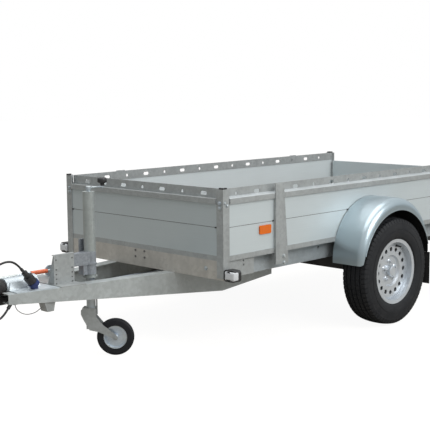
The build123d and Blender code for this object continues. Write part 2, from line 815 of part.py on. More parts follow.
# The disc's section as (y, radius): a flat ring with the vents round a sunk middle.
disc_bore = hub_cap_radius + running_gap
disc_outline = (
    (disc_in_y, inner_barrel + 1),
    (disc_out_y, inner_barrel + 1),
    (disc_out_y, rim_bowl_radius),
    (bowl_out_y, rim_bowl_radius - rim_bowl_slope),
    (bowl_out_y, disc_bore),
    (hub_face_y, disc_bore),
    (hub_face_y, rim_bowl_radius - rim_bowl_slope + rim_sheet / 2),
    (disc_in_y, rim_bowl_radius + rim_sheet / 2),
)
for name, side in (("left", 1), ("right", -1)):
    with BuildPart() as hub:
        with BuildSketch(Plane.XZ.offset(-side * drum_in_y)):
            with Locations((wheel_x, wheel_radius)):
                Circle(drum_radius)
        extrude(amount=-side * drum_depth)
        with BuildSketch(Plane.XZ.offset(-side * drum_in_y)):
            with Locations((wheel_x, wheel_radius)):
                Circle(drum_radius - drum_wall)
                Circle(drum_boss_radius, mode=Mode.SUBTRACT)
        extrude(amount=-side * (drum_depth - drum_wall), mode=Mode.SUBTRACT)
        with BuildSketch(Plane.XZ.offset(-side * hub_face_y)):
            with Locations((wheel_x, wheel_radius)):
                Circle(hub_cap_radius)
        extrude(amount=-side * (rim_sheet + hub_cap_reach))
        cap_edge = hub.edges().filter_by(GeomType.CIRCLE).sort_by(Axis.Y)[-1 if side > 0 else 0]
        fillet(cap_edge, hub_cap_round)
        with BuildSketch(Plane.XZ.offset(-side * drum_in_y)):
            with Locations((wheel_x, wheel_radius)):
                Circle(stub_radius + running_gap)
        extrude(amount=-side * (stub_tip_y + running_gap - drum_in_y), mode=Mode.SUBTRACT)
    finish(hub, f"hub_{name}")

    with BuildPart() as rim:
        for outline in (rim_outline, disc_outline):
            with BuildSketch(Plane.YZ.offset(wheel_x)):
                with BuildLine():
                    Polyline(*[(side * y, wheel_radius + radius) for y, radius in outline], close=True)
                make_face()
            revolve(axis=wheel_axis)
        with BuildSketch(Plane.XZ.offset(-side * disc_in_y)):
            with Locations((wheel_x, wheel_radius)):
                with PolarLocations(rim_vent_circle, rim_vent_count):
                    Circle(rim_vent_radius)
        extrude(amount=-side * rim_sheet, mode=Mode.SUBTRACT)
    finish(rim, f"rim_{name}")

    with BuildPart() as tyre:
        with BuildSketch(Plane.YZ.offset(wheel_x)):
            with BuildLine():
                Polyline(*[(side * (tyre_mid_y + y), wheel_radius + r) for y, r in tyre_outline], close=True)
            make_face()
        revolve(axis=wheel_axis)
    finish(tyre, f"tyre_{name}")

# ---------------------------------------------------------------- tailgate
hinge_x = rear_x - hinge_back
hinge_z = sill_top - hinge_drop
tailgate_bottom = sill_top + gate_gap_bottom
tailgate_top = wall_top - gate_gap_top
tailgate_half = half_w - post_leg - gate_gap_side
tailgate_out_x = rear_x + strap_sheet / 2
hinge_places = (-hinge_spread, 0.0, hinge_spread)
with BuildPart() as tailgate:
    with Locations((tailgate_out_x + wall_thick / 2, 0, (tailgate_bottom + tailgate_top) / 2)):
        Box(wall_thick, 2 * tailgate_half, tailgate_top - tailgate_bottom)
    for face_x in (tailgate_out_x, tailgate_out_x + wall_thick):
        with Locations((face_x, 0, groove_z)):
            Box(2 * groove_depth, 2 * tailgate_half, groove_height, mode=Mode.SUBTRACT)
finish(tailgate, "tailgate")

knuckle_web_z = hinge_z + hinge_pin_radius + hinge_web
with BuildPart() as tailgate_straps:
    for y in hinge_places:
        with BuildSketch(Plane.XZ.offset(-y - strap_width / 2)):
            with Locations((hinge_x, hinge_z)):
                Circle(hinge_radius)
            with BuildLine():
                Polyline(
                    (hinge_x, knuckle_web_z),
                    (tailgate_out_x, knuckle_web_z),
                    (tailgate_out_x, strap_top),
                    (tailgate_out_x - strap_sheet, strap_top),
                    (tailgate_out_x - strap_sheet, hinge_z + hinge_radius),
                    (hinge_x, hinge_z + hinge_radius),
                    close=True,
                )
            make_face()
            with Locations((hinge_x, hinge_z)):
                Circle(hinge_pin_radius + running_gap, mode=Mode.SUBTRACT)
        extrude(amount=strap_width)
finish(tailgate_straps, "tailgate_straps")

with BuildPart() as hinge_pins:
    for y in hinge_places:
        with Locations(Location((hinge_x, y, hinge_z), (90, 0, 0))):
            Cylinder(hinge_pin_radius, strap_width + 2 * (ear_gap + ear_thick))
        for ear_side in (1, -1):
            ear_y = y + ear_side * (strap_width / 2 + ear_gap + ear_thick / 2)
            with Locations(Location((hinge_x, ear_y, hinge_z), (90, 0, 0))):
                Cylinder(ear_radius, ear_thick)
            with Locations(((hinge_x + rear_x + post_thick) / 2, ear_y, hinge_z - ear_radius / 3)):
                Box(hinge_back + post_thick, ear_thick, ear_radius * 4 / 3)
finish(hinge_pins, "hinge_pins")

latch_y = tailgate_half - latch_inset
latch_grip = rear_overhang - latch_plate + strap_sheet / 2
with BuildPart() as tailgate_latches:
    for side in (1, -1):
        with Locations((tailgate_out_x - latch_plate / 2, side * latch_y, latch_z)):
            Box(latch_plate, latch_width, latch_height)
        with Locations((rear_x - rear_overhang + latch_grip / 2, side * latch_y, latch_z)):
            Box(latch_grip, latch_width / 3, latch_height / 2)
finish(tailgate_latches, "tailgate_latches")

# ---------------------------------------------------------------- lamps and reflectors
with BuildPart() as reflectors:
    for side in (1, -1):
        with BuildSketch(Plane.XZ.offset(-side * wall_out)):
            with Locations((ahead(-reflector_behind), reflector_z)):
                RectangleRounded(reflector_length, reflector_height, reflector_thick)
        extrude(amount=-side * reflector_thick)
finish(reflectors, "reflectors")

lamp_y = half_w + lamp_width / 2
with BuildPart() as front_lamps:
    for side in (1, -1):
        with BuildSketch(Plane.YZ.offset(ahead(lamp_front - lamp_length))):
            with Locations((side * lamp_y, lamp_z)):
                RectangleRounded(lamp_width, lamp_height, lamp_round)
        extrude(amount=lamp_length)
        with BuildSketch(Plane.YZ.offset(ahead(lamp_front))):
            with Locations((side * lamp_y, lamp_z)):
                Circle(lens_radius)
        extrude(amount=lens_proud)
finish(front_lamps, "front_lamps")

light_bar_x = rear_x + light_bar_behind
light_bar_half = half_w - light_bar_inset
with BuildPart() as light_bar:
    with Locations((light_bar_x + sheet / 2, 0, (frame_bottom + light_bar_bottom) / 2)):
        Box(sheet, 2 * light_bar_half, frame_bottom - light_bar_bottom)
    with Locations((light_bar_x + beam_flange / 2, 0, frame_bottom - sheet / 2)):
        Box(beam_flange, 2 * light_bar_half, sheet)
finish(light_bar, "light_bar")

tail_lamp_y = half_w - tail_lamp_inset - tail_lamp_length / 2
with BuildPart() as tail_lamps:
    for side in (1, -1):
        for proud, trim in ((0, 0), (tail_lens_proud, tail_lens_proud)):
            with BuildSketch(Plane.YZ.offset(light_bar_x)):
                with Locations((side * tail_lamp_y, tail_lamp_z)):
                    RectangleRounded(
                        tail_lamp_length - 2 * trim,
                        tail_lamp_height - 2 * trim,
                        tail_lamp_round - trim,
                    )
            extrude(amount=-(tail_lamp_depth - tail_lens_proud + proud))
finish(tail_lamps, "tail_lamps")

with BuildPart() as number_plate:
    with BuildSketch(Plane.YZ.offset(light_bar_x)):
        with Locations((plate_offset, tail_lamp_z)):
            RectangleRounded(plate_length, plate_height, plate_thick)
    extrude(amount=-plate_thick)
finish(number_plate, "number_plate")

# ---------------------------------------------------------------- drawbar arms
arm_angle = math.atan(arm_taper)
arm_cos = math.cos(arm_angle)
arm_spill = 10.0
arm_plane = Plane(
    origin=(front_x, arm_spread, arm_top),
    x_dir=(arm_cos, -math.sin(arm_angle), 0),
    z_dir=(-math.sin(arm_angle), -arm_cos, 0),
)
with BuildPart() as drawbar_arm_left:
    for inset, spill, mode in ((0, 0, Mode.ADD), (arm_sheet, arm_spill, Mode.SUBTRACT)):
        with BuildSketch(arm_plane.offset(inset)):
            with BuildLine():
                Polyline(
                    (arm_rear / arm_cos - spill, -inset),
                    (arm_front / arm_cos + spill, -inset),
                    (arm_front / arm_cos + spill, -arm_nose_depth + inset),
                    (arm_deepest / arm_cos, -arm_max_depth + inset),
                    (arm_rear / arm_cos - spill, -arm_tail_depth + inset),
                    close=True,
                )
            make_face()
        extrude(amount=arm_flange, mode=mode)
finish(drawbar_arm_left, "drawbar_arm_left")

with BuildPart() as drawbar_arm_right:
    mirror(drawbar_arm_left.part, about=Plane.XZ)
finish(drawbar_arm_right, "drawbar_arm_right")

# ---------------------------------------------------------------- overrun gear and coupling
housing_front_x = back(housing_front_back)
housing_rear_x = housing_front_x - housing_length
head_x = back(head_back)
ball_x = back(ball_back)
plate_top = arm_top + housing_plate
with BuildPart() as overrun_housing:
    with BuildSketch(Plane.XY.offset(arm_top)):
        with BuildLine():
            Polyline(
                (housing_rear_x, arm_web_y(housing_rear_x) - housing_edge),
                (housing_front_x, arm_web_y(housing_front_x) - housing_edge),
                (housing_front_x, -arm_web_y(housing_front_x) + housing_edge),
                (housing_rear_x, -arm_web_y(housing_rear_x) + housing_edge),
                close=True,
            )
        make_face()
    extrude(amount=housing_plate)
    with BuildSketch(Plane.XY.offset(plate_top)):
        with Locations((housing_front_x - hump_length / 2, 0)):
            Rectangle(hump_length, hump_width)
    extrude(amount=hump_height, taper=hump_taper)
    with BuildSketch(Plane.YZ.offset(housing_front_x - hump_length)):
        with Locations((0, shaft_z)):
            Circle(housing_tube_radius)
    extrude(amount=hump_length)
    with Locations((housing_front_x - damper_reach / 3 - yoke_thick / 2, 0, (yoke_bottom + arm_top) / 2)):
        Box(yoke_thick, yoke_width, arm_top - yoke_bottom)
    with BuildSketch(Plane.YZ.offset(housing_front_x - hump_length + yoke_thick)):
        with Locations((0, shaft_z)):
            Circle(shaft_radius + running_gap)
    extrude(amount=hump_length, mode=Mode.SUBTRACT)
finish(overrun_housing, "overrun_housing")

shaft_rear_x = housing_front_x - hump_length + yoke_thick + running_gap
with BuildPart() as coupling_shaft:
    with BuildSketch(Plane.YZ.offset(shaft_rear_x)):
        with Locations((0, shaft_z)):
            Circle(shaft_radius)
    extrude(amount=head_x + head_socket - shaft_rear_x)
finish(coupling_shaft, "coupling_shaft")

damper_rear_x = housing_front_x - damper_reach / 3
with BuildPart() as overrun_damper:
    with BuildSketch(Plane.YZ.offset(damper_rear_x)):
        with Locations((0, damper_z)):
            Circle(damper_radius)
    extrude(amount=damper_reach)
    fillet(overrun_damper.edges().sort_by(Axis.X)[-1], damper_radius / 4)
finish(overrun_damper, "overrun_damper")

with BuildPart() as bellows:
    fold_pitch = (head_x - housing_front_x) / bellows_folds
    with BuildSketch(Plane.XZ):
        with BuildLine():
            fold_points = [(housing_front_x, shaft_z + shaft_radius + running_gap)]
            for fold in range(bellows_folds):
                fold_x = housing_front_x + fold * fold_pitch
                fold_points.append((fold_x, shaft_z + bellows_radius - bellows_valley))
                fold_points.append((fold_x + fold_pitch / 2, shaft_z + bellows_radius))
            fold_points.append((head_x, shaft_z + bellows_radius - bellows_valley))
            fold_points.append((head_x, shaft_z + shaft_radius + running_gap))
            Polyline(*fold_points, close=True)
        make_face()
    revolve(axis=Axis((0, 0, shaft_z), (1, 0, 0)))
finish(bellows, "bellows")

ball_z = shaft_z - ball_drop
with BuildPart() as coupling_head:
    with BuildSketch(Plane.YZ.offset(head_x)):
        with Locations((0, shaft_z)):
            RectangleRounded(head_width, head_width, head_round)
    extrude(amount=ball_x - head_x - head_round)
    with Locations((ball_x, 0, ball_z)):
        Sphere(ball_back)
    with BuildSketch(Plane.YZ.offset(head_x)):
        with Locations((0, shaft_z)):
            Circle(shaft_radius + running_gap)
    extrude(amount=head_socket + running_gap, mode=Mode.SUBTRACT)
    with Locations((ball_x, 0, ball_z)):
        Sphere(ball_radius, mode=Mode.SUBTRACT)
    with BuildSketch(Plane.XY.offset(ball_z)):
        with Locations((ball_x, 0)):
            Circle(ball_radius)
    extrude(amount=-2 * ball_back, mode=Mode.SUBTRACT)
finish(coupling_head, "coupling_head")

handle_front_x = ball_x - ball_back
handle_z = shaft_z + head_width / 2 + running_gap
handle_rise = 58.0
handle_thick = 16.0
handle_heel = 30.0
with BuildPart() as coupling_handle:
    with BuildSketch(Plane.XZ.offset(-handle_width / 2)):
        with BuildLine():
            Polyline(
                (handle_front_x, handle_z),
                (handle_front_x - handle_heel, handle_z),
                (handle_front_x - handle_length, handle_z + handle_rise),
                (handle_front_x - handle_length, handle_z + handle_rise + handle_thick),
                (handle_front_x - handle_heel, handle_z + 2 * handle_thick),
                (handle_front_x, handle_z + handle_thick),
                close=True,
            )
        make_face()
    extrude(amount=handle_width)
    grip_edges = coupling_handle.edges().filter_by(Axis.Z).group_by(Axis.X)[0]
    fillet(grip_edges, handle_width / 4)
finish(coupling_handle, "coupling_handle")

# ---------------------------------------------------------------- hand brake
pivot_x = back(brake_pivot_back)
bar_front_x = pivot_x + brake_bar_length
with BuildPart() as handbrake_lever:
    with BuildSketch(Plane.XZ.offset(-brake_y - brake_pivot_thick / 2)):
        with Locations((pivot_x, plate_top + brake_pivot_radius + running_gap)):
            Circle(brake_pivot_radius)
    extrude(amount=brake_pivot_thick)
    with BuildSketch(Plane.YZ.offset(pivot_x)):
        with Locations((brake_y, brake_z)):
            Circle(brake_bar_radius)
    extrude(amount=brake_bar_length)
    with BuildSketch(Plane.YZ.offset(bar_front_x)):
        with Locations((brake_y, brake_z)):
            Circle(brake_grip_radius)
    extrude(amount=brake_grip_length)
    fillet(handbrake_lever.edges().sort_by(Axis.X)[-1], brake_grip_radius / 2)
finish(handbrake_lever, "handbrake_lever")

with BuildPart() as brake_rod:
    with BuildSketch(Plane.YZ.offset(axle_x + axle_tube / 2)):
        with Locations((brake_rod_y, brake_rod_z)):
            Circle(brake_rod_radius)
    extrude(amount=back(brake_rod_back) - axle_x - axle_tube / 2)
finish(brake_rod, "brake_rod")

# ---------------------------------------------------------------- console for the jockey wheel
console_front_x = back(console_front_back)
console_rear_x = console_front_x - console_length
console_mid_x = (console_rear_x + console_front_x) / 2
console_panel_in = console_y - sheet
with BuildPart() as console_bracket:
    with BuildSketch(Plane.XY.offset(arm_top)):
        with BuildLine():
            Polyline(
                (console_rear_x - console_foot, arm_web_y(console_rear_x - console_foot)),
                (console_front_x + console_foot, arm_web_y(console_front_x + console_foot)),
                (console_front_x + console_foot, -arm_web_y(console_front_x + console_foot)),
                (console_rear_x - console_foot, -arm_web_y(console_rear_x - console_foot)),
                close=True,
            )
        make_face()
    extrude(amount=housing_plate)
    with BuildSketch(Plane.XZ.offset(-console_y)):
        with Locations((console_mid_x, (plate_top + console_top) / 2)):
            Rectangle(console_length, console_top - plate_top)
        for hole_x in (console_rear_x + console_hole_inset, console_front_x - console_hole_inset):
            with Locations(*[(hole_x, z) for z in console_hole_heights]):
                Circle(console_hole_radius, mode=Mode.SUBTRACT)
    extrude(amount=sheet)
    with Locations((console_mid_x, console_panel_in - console_edge / 2, console_top - sheet / 2)):
        Box(console_length, console_edge, sheet)
    with BuildSketch(Plane.YZ.offset(console_front_x - sheet)):
        with BuildLine():
            Polyline(
                (console_panel_in, plate_top),
                (console_panel_in, console_top - sheet),
                (console_panel_in - sheet, console_top - sheet),
                (console_panel_in - console_rib, plate_top),
                close=True,
            )
        make_face()
    extrude(amount=sheet)
finish(console_bracket, "console_bracket")

jockey_x = back(jockey_back)
clamp_radius = jockey_tube_radius + clamp_wall
clamp_bore = jockey_tube_radius + running_gap
with BuildPart() as jockey_clamp:
    with BuildSketch(Plane.XY.offset(clamp_bottom)):
        with Locations((jockey_x, jockey_y)):
            Circle(clamp_radius)
        with Locations((jockey_x + clamp_radius, jockey_y)):
            Rectangle(clamp_radius, clamp_radius)
    extrude(amount=clamp_flange_z - clamp_bottom)
    with BuildSketch(Plane.XY.offset(clamp_flange_z)):
        with Locations((jockey_x, jockey_y)):
            Circle(clamp_radius + clamp_flange)
        with BuildLine():
            Polyline(
                (jockey_x, jockey_y - clamp_radius),
                (console_rear_x + 2 * console_edge, jockey_y),
                (console_rear_x + 2 * console_edge, console_panel_in),
                (console_rear_x, console_panel_in),
                (jockey_x, jockey_y + clamp_bore),
                close=True,
            )
        make_face()
    extrude(amount=clamp_flange)
    with BuildSketch(Plane.XY.offset(clamp_flange_z + clamp_flange)):
        with Locations((jockey_x, jockey_y)):
            Circle(clamp_radius)
        with BuildLine():
            Polyline(
                (jockey_x, jockey_y - clamp_bore),
                (console_rear_x + console_edge, jockey_y),
                (console_rear_x + console_edge, console_panel_in),
                (console_rear_x, console_panel_in),
                (jockey_x, jockey_y + clamp_bore),
                close=True,
            )
        make_face()
    extrude(amount=clamp_top - clamp_flange_z - clamp_flange)
    with Locations((jockey_x + clamp_lever_width / 3, jockey_y - clamp_radius, clamp_top)):
        Box(clamp_lever_width, clamp_lever_thick, 2 * clamp_lever_height)
    with BuildSketch(Plane.XY.offset(frame_bottom)):
        with Locations((jockey_x, jockey_y)):
            Circle(clamp_bore)
    extrude(amount=jockey_tube_top, mode=Mode.SUBTRACT)
    with Locations((jockey_x - clamp_behind - clamp_radius, jockey_y, frame_top)):
        Box(2 * clamp_radius, 4 * clamp_radius, 2 * frame_depth + 2 * clamp_lever_height, mode=Mode.SUBTRACT)
finish(jockey_clamp, "jockey_clamp")

# ---------------------------------------------------------------- jockey wheel
with BuildPart() as jockey_outer_tube:
    for bottom, top, radius in (
        (jockey_tube_bottom - jockey_ring_height, jockey_tube_bottom, jockey_ring_radius),
        (jockey_tube_bottom, jockey_tube_top, jockey_tube_radius),
    ):
        with BuildSketch(Plane.XY.offset(bottom)):
            with Locations((jockey_x, jockey_y)):
                Circle(radius)
                Circle(jockey_leg_radius + jockey_slide_gap, mode=Mode.SUBTRACT)
        extrude(amount=top - bottom)
    with BuildSketch(Plane.XY.offset(jockey_tube_top)):
        with Locations((jockey_x, jockey_y)):
            Circle(jockey_tube_radius)
    extrude(amount=jockey_cap)
finish(jockey_outer_tube, "jockey_outer_tube")

crank_rad = math.radians(crank_heading)
crank_end_x = jockey_x + crank_length * math.cos(crank_rad)
crank_end_y = jockey_y + crank_length * math.sin(crank_rad)
crank_foot_z = jockey_tube_top + jockey_cap
with BuildPart() as jockey_crank:
    with BuildSketch(Plane.XY.offset(crank_foot_z)):
        with Locations((jockey_x, jockey_y)):
            Circle(spindle_radius)
    extrude(amount=crank_z + crank_thick - crank_foot_z)
    with BuildSketch(Plane.XY.offset(crank_z - crank_thick / 2)):
        with Locations(((jockey_x + crank_end_x) / 2, (jockey_y + crank_end_y) / 2)):
            SlotCenterToCenter(crank_length, crank_width, rotation=crank_heading)
    extrude(amount=crank_thick)
    with BuildSketch(Plane.XY.offset(crank_z)):
        with Locations((crank_end_x, crank_end_y)):
            Circle(knob_radius)
    extrude(amount=knob_height)
    fillet(jockey_crank.edges().sort_by(Axis.Z)[-1], knob_radius / 3)
finish(jockey_crank, "jockey_crank")

with BuildPart() as jockey_inner_tube:
    with BuildSketch(Plane.XY.offset(jockey_leg_bottom)):
        with Locations((jockey_x, jockey_y)):
            Circle(jockey_leg_radius)
            Circle(jockey_leg_radius - jockey_leg_wall, mode=Mode.SUBTRACT)
    extrude(amount=jockey_leg_top - jockey_leg_bottom)
finish(jockey_inner_tube, "jockey_inner_tube")

# The fork is drawn in an upright plane through the trail: x runs back along the trail, y is height.
trail_rad = math.radians(jockey_heading)
jockey_hub_x = jockey_x + jockey_trail * math.cos(trail_rad)
jockey_hub_y = jockey_y + jockey_trail * math.sin(trail_rad)
fork_half = jockey_tyre_width / 2 + fork_gap + fork_sheet
fork_plane = Plane(
    origin=(jockey_x, jockey_y, 0),
    x_dir=(math.cos(trail_rad), math.sin(trail_rad), 0),
    z_dir=(math.sin(trail_rad), -math.cos(trail_rad), 0),
)
fork_base_z = jockey_leg_bottom - running_gap
with BuildPart() as jockey_fork:
    with BuildSketch(Plane.XY.offset(fork_base_z)):
        with Locations((jockey_x, jockey_y)):
            Circle(jockey_leg_radius + running_gap + fork_collar)
            Circle(jockey_leg_radius + running_gap, mode=Mode.SUBTRACT)
    extrude(amount=fork_top - fork_base_z)
    for side in (1, -1):
        with BuildSketch(fork_plane.offset(side * fork_half)):
            with BuildLine():
                Polyline(
                    (-fork_back, fork_top - fork_corner),
                    (-fork_back, fork_top - fork_back_edge),
                    (-fork_back + fork_corner, fork_top - fork_slope_end),
                    (-fork_arm_back, fork_base_z - fork_arm_under),
                    (fork_nose, fork_base_z - fork_nose_under),
                    (jockey_trail + fork_tip_rear, jockey_wheel_radius - fork_tip_under),
                    (jockey_trail + fork_tip, jockey_wheel_radius),
                    (jockey_trail + fork_tip_top, jockey_wheel_radius + fork_tip),
                    (fork_nose + fork_shoulder, fork_base_z - fork_shoulder_drop),
                    (fork_nose - fork_neck, fork_base_z + fork_neck_rise),
                    (fork_front, fork_top),
                    (-fork_back + fork_corner, fork_top),
                    close=True,
                )
            make_face()
        extrude(amount=-side * fork_sheet)
    with BuildSketch(fork_plane):
        with Locations((jockey_trail, jockey_wheel_radius)):
            Circle(jockey_pin_radius)
    extrude(amount=fork_half + fork_sheet, both=True)
    with BuildSketch(fork_plane):
        with Locations((0, fork_base_z - fork_bridge / 2)):
            Rectangle(2 * jockey_leg_radius, fork_bridge)
    extrude(amount=fork_half - fork_sheet / 2, both=True)
    with BuildSketch(Plane.XY.offset(lock_rod_bottom)):
        with Locations((jockey_x - lock_rod_reach, jockey_y)):
            Circle(lock_rod_radius)
    extrude(amount=lock_rod_top - lock_rod_bottom)
    with Locations((jockey_x - (lock_rod_reach + jockey_leg_radius) / 2, jockey_y, fork_top - lock_rod_tie)):
        Box(lock_rod_reach - jockey_leg_radius, 2 * lock_rod_radius, 2 * lock_rod_radius)
finish(jockey_fork, "jockey_fork")

with BuildPart() as jockey_rim:
    for inner, outer, width in (
        (jockey_rim_radius - jockey_rim_wall, jockey_rim_radius, jockey_rim_width),
        (jockey_hub_radius - 1, jockey_rim_radius - jockey_rim_wall + 1, jockey_disc_thick),
        (jockey_pin_radius + running_gap, jockey_hub_radius, jockey_hub_width),
    ):
        with BuildSketch(fork_plane):
            with Locations((jockey_trail, jockey_wheel_radius)):
                Circle(outer)
                Circle(inner, mode=Mode.SUBTRACT)
        extrude(amount=width / 2, both=True)
finish(jockey_rim, "jockey_rim")

with BuildPart() as jockey_tyre:
    with BuildSketch(fork_plane):
        with Locations((jockey_trail, jockey_wheel_radius)):
            Circle(jockey_wheel_radius)
    extrude(amount=jockey_tyre_width / 2, both=True)
    fillet(jockey_tyre.edges().filter_by(GeomType.CIRCLE), jockey_tyre_round)
    with BuildSketch(fork_plane):
        with Locations((jockey_trail, jockey_wheel_radius)):
            Circle(jockey_rim_radius)
    extrude(amount=jockey_tyre_width, both=True, mode=Mode.SUBTRACT)
finish(jockey_tyre, "jockey_tyre")

# ---------------------------------------------------------------- electric plug in its holder
plug_rad = math.radians(plug_tilt)
plug_dir = Vector(math.cos(plug_rad), 0, math.sin(plug_rad))
holder_radius = plug_radius + holder_wall + running_gap
plug_start = Vector(
    back(plug_nose_back),
    plug_y,
    plate_top + holder_radius * math.cos(plug_rad) + (holder_wall + 2 * running_gap) * math.sin(plug_rad),
)
plug_plane = Plane(origin=plug_start, z_dir=plug_dir)
with BuildPart() as towing_plug:
    with BuildSketch(plug_plane):
        Circle(plug_radius)
    extrude(amount=plug_body)
    with BuildSketch(plug_plane.offset(plug_body)):
        Circle(plug_neck_radius)
    extrude(amount=plug_neck)
    with BuildSketch(plug_plane.offset(plug_body + plug_neck)):
        Circle(plug_boot_radius)
    extrude(amount=plug_boot)
finish(towing_plug, "towing_plug")
plug_end = plug_start + plug_dir * (plug_body + plug_neck + plug_boot)

with BuildPart() as plug_holder:
    with BuildSketch(plug_plane.offset(-holder_wall - running_gap)):
        Circle(holder_radius)
    extrude(amount=holder_depth)
    with BuildSketch(plug_plane.offset(-running_gap)):
        Circle(plug_radius + running_gap)
    extrude(amount=holder_depth, mode=Mode.SUBTRACT)
    with Locations((plug_start.X, plug_y, plate_top + holder_foot / 2)):
        Box(holder_foot, holder_foot, holder_foot)
    with BuildSketch(plug_plane.offset(-running_gap)):
        Circle(plug_radius + running_gap)
    extrude(amount=plug_body, mode=Mode.SUBTRACT)
    with Locations((plug_start.X, plug_y, plate_top - holder_foot)):
        Box(4 * holder_foot, 4 * holder_foot, 2 * holder_foot, mode=Mode.SUBTRACT)
finish(plug_holder, "plug_holder")

cable_bend = plug_end + plug_dir * cable_lead

gland_mouth = Vector(ahead(gland_reach), gland_y, gland_z)
gland_dir = Vector(*gland_heading).normalized()
with BuildPart() as cable_gland:
    with BuildSketch(Plane(origin=gland_mouth, z_dir=gland_dir * -1)):
        Circle(gland_radius)
    extrude(amount=2 * gland_length)
    gland_cut = 2 * (arm_top - arm_under_z(ahead(arm_front) - 2 * gland_length) + running_gap)
    with Locations((gland_mouth.X, gland_mouth.Y, arm_top)):
        Box(4 * gland_length, 4 * gland_length, gland_cut, mode=Mode.SUBTRACT)
finish(cable_gland, "cable_gland")

cable_route = [
    (plug_end.X, plug_end.Y, plug_end.Z),
    (cable_bend.X, cable_bend.Y, cable_bend.Z),
    (ahead(950), 102, 585),
    (ahead(1015), 106, 572),
    (ahead(1075), 112, 545),
    (ahead(1120), 118, 500),
    (ahead(1135), 122, 440),
    (ahead(1118), 121, 380),
    (ahead(1085), 117, 330),
    (ahead(1040), 112, 300),
    (ahead(990), 108, 312),
    (gland_mouth.X, gland_mouth.Y, gland_mouth.Z),
]
with BuildPart() as plug_cable:
    with BuildLine():
        cable_path = FilletPolyline(*cable_route, radius=corner_radii(cable_route))
    with BuildSketch(Plane(origin=cable_path @ 0, z_dir=cable_path % 0)):
        Circle(cable_radius)
    sweep()
finish(plug_cable, "plug_cable")

# ---------------------------------------------------------------- bracket and cable under the left arm
bracket_front_x = back(bracket_front_back)
bracket_rear_x = bracket_front_x - bracket_length
with BuildPart() as arm_bracket:
    with BuildSketch(Plane.XZ.offset(-bracket_inner_y)):
        with BuildLine():
            Polyline(
                (bracket_rear_x, arm_under_z(bracket_rear_x) - running_gap),
                (bracket_rear_x + bracket_rear_slope, bracket_bottom),
                (bracket_front_x - bracket_front_slope, bracket_bottom),
                (bracket_front_x, arm_under_z(bracket_front_x) - running_gap),
                close=True,
            )
        make_face()
    extrude(amount=-bracket_width)
finish(arm_bracket, "arm_bracket")

link_route = [
    (ahead(922), 112, arm_under_z(ahead(922)) - 2 * running_gap),
    (ahead(914), 111, 340),
    (ahead(884), 110, 314),
    (ahead(846), 109, 301),
    (ahead(800), 109, 303),
    (bracket_front_x - bracket_length / 12 + link_radius, 110, 322),
]
with BuildPart() as link_cable:
    with BuildLine():
        link_path = FilletPolyline(*link_route, radius=corner_radii(link_route))
    with BuildSketch(Plane(origin=link_path @ 0, z_dir=link_path % 0)):
        Circle(link_radius)
    sweep()
finish(link_cable, "link_cable")

for cable_name, cable, path, radius in (
    ("plug_cable", plug_cable, cable_path, cable_radius),
    ("link_cable", link_cable, link_path, link_radius),
):
    fullness = cable.part.volume / (path.length * math.pi * radius**2)
    print(cable_name, "length", path.length, "volume ratio", fullness)
print("plug cable radii", [round(radius) for radius in corner_radii(cable_route)])
print("link cable radii", [round(radius) for radius in corner_radii(link_route)])
print("front wall x", front_x, "rear x", rear_x)
print("wheel centre", wheel_x, wheel_radius, "axle", axle_x, axle_z)
print("jockey tube", jockey_x, jockey_y, "hub", jockey_hub_x, jockey_hub_y)
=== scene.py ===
import json
import math

import bmesh
import bpy
from mathutils import Matrix, Vector


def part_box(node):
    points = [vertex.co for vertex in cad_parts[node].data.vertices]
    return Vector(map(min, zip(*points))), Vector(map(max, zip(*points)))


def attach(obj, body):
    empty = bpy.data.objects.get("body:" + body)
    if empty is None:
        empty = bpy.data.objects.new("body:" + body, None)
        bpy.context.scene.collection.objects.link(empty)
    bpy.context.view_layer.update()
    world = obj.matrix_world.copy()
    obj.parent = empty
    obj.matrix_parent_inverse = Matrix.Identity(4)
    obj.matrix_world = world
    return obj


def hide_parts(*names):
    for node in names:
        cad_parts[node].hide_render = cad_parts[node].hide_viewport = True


# A single-axle utility trailer with a drop tailgate, parked on its jockey wheel.
# Metres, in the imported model's frame: +X forward to the coupling, +Y to the left, +Z up.

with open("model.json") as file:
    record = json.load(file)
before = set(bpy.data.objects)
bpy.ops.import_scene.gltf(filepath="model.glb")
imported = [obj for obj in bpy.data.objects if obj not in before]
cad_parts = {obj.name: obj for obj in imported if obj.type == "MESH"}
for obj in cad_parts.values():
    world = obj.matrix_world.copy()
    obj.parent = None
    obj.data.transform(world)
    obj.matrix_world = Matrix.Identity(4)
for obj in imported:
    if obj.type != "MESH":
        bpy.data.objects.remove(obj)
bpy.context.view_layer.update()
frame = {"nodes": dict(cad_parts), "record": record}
nodes = frame["nodes"]

# ---------------------------------------------------------------- camera
CAMERA_PLACE = Vector((4.3218, 4.2380, 1.4427))
CAMERA_HEADING = math.radians(224.363)
CAMERA_DIP = math.radians(7.439)
CAMERA_ROLL = math.radians(0.414)
CAMERA_LENS = 84.38  # millimetres
SENSOR_WIDTH = 36  # millimetres

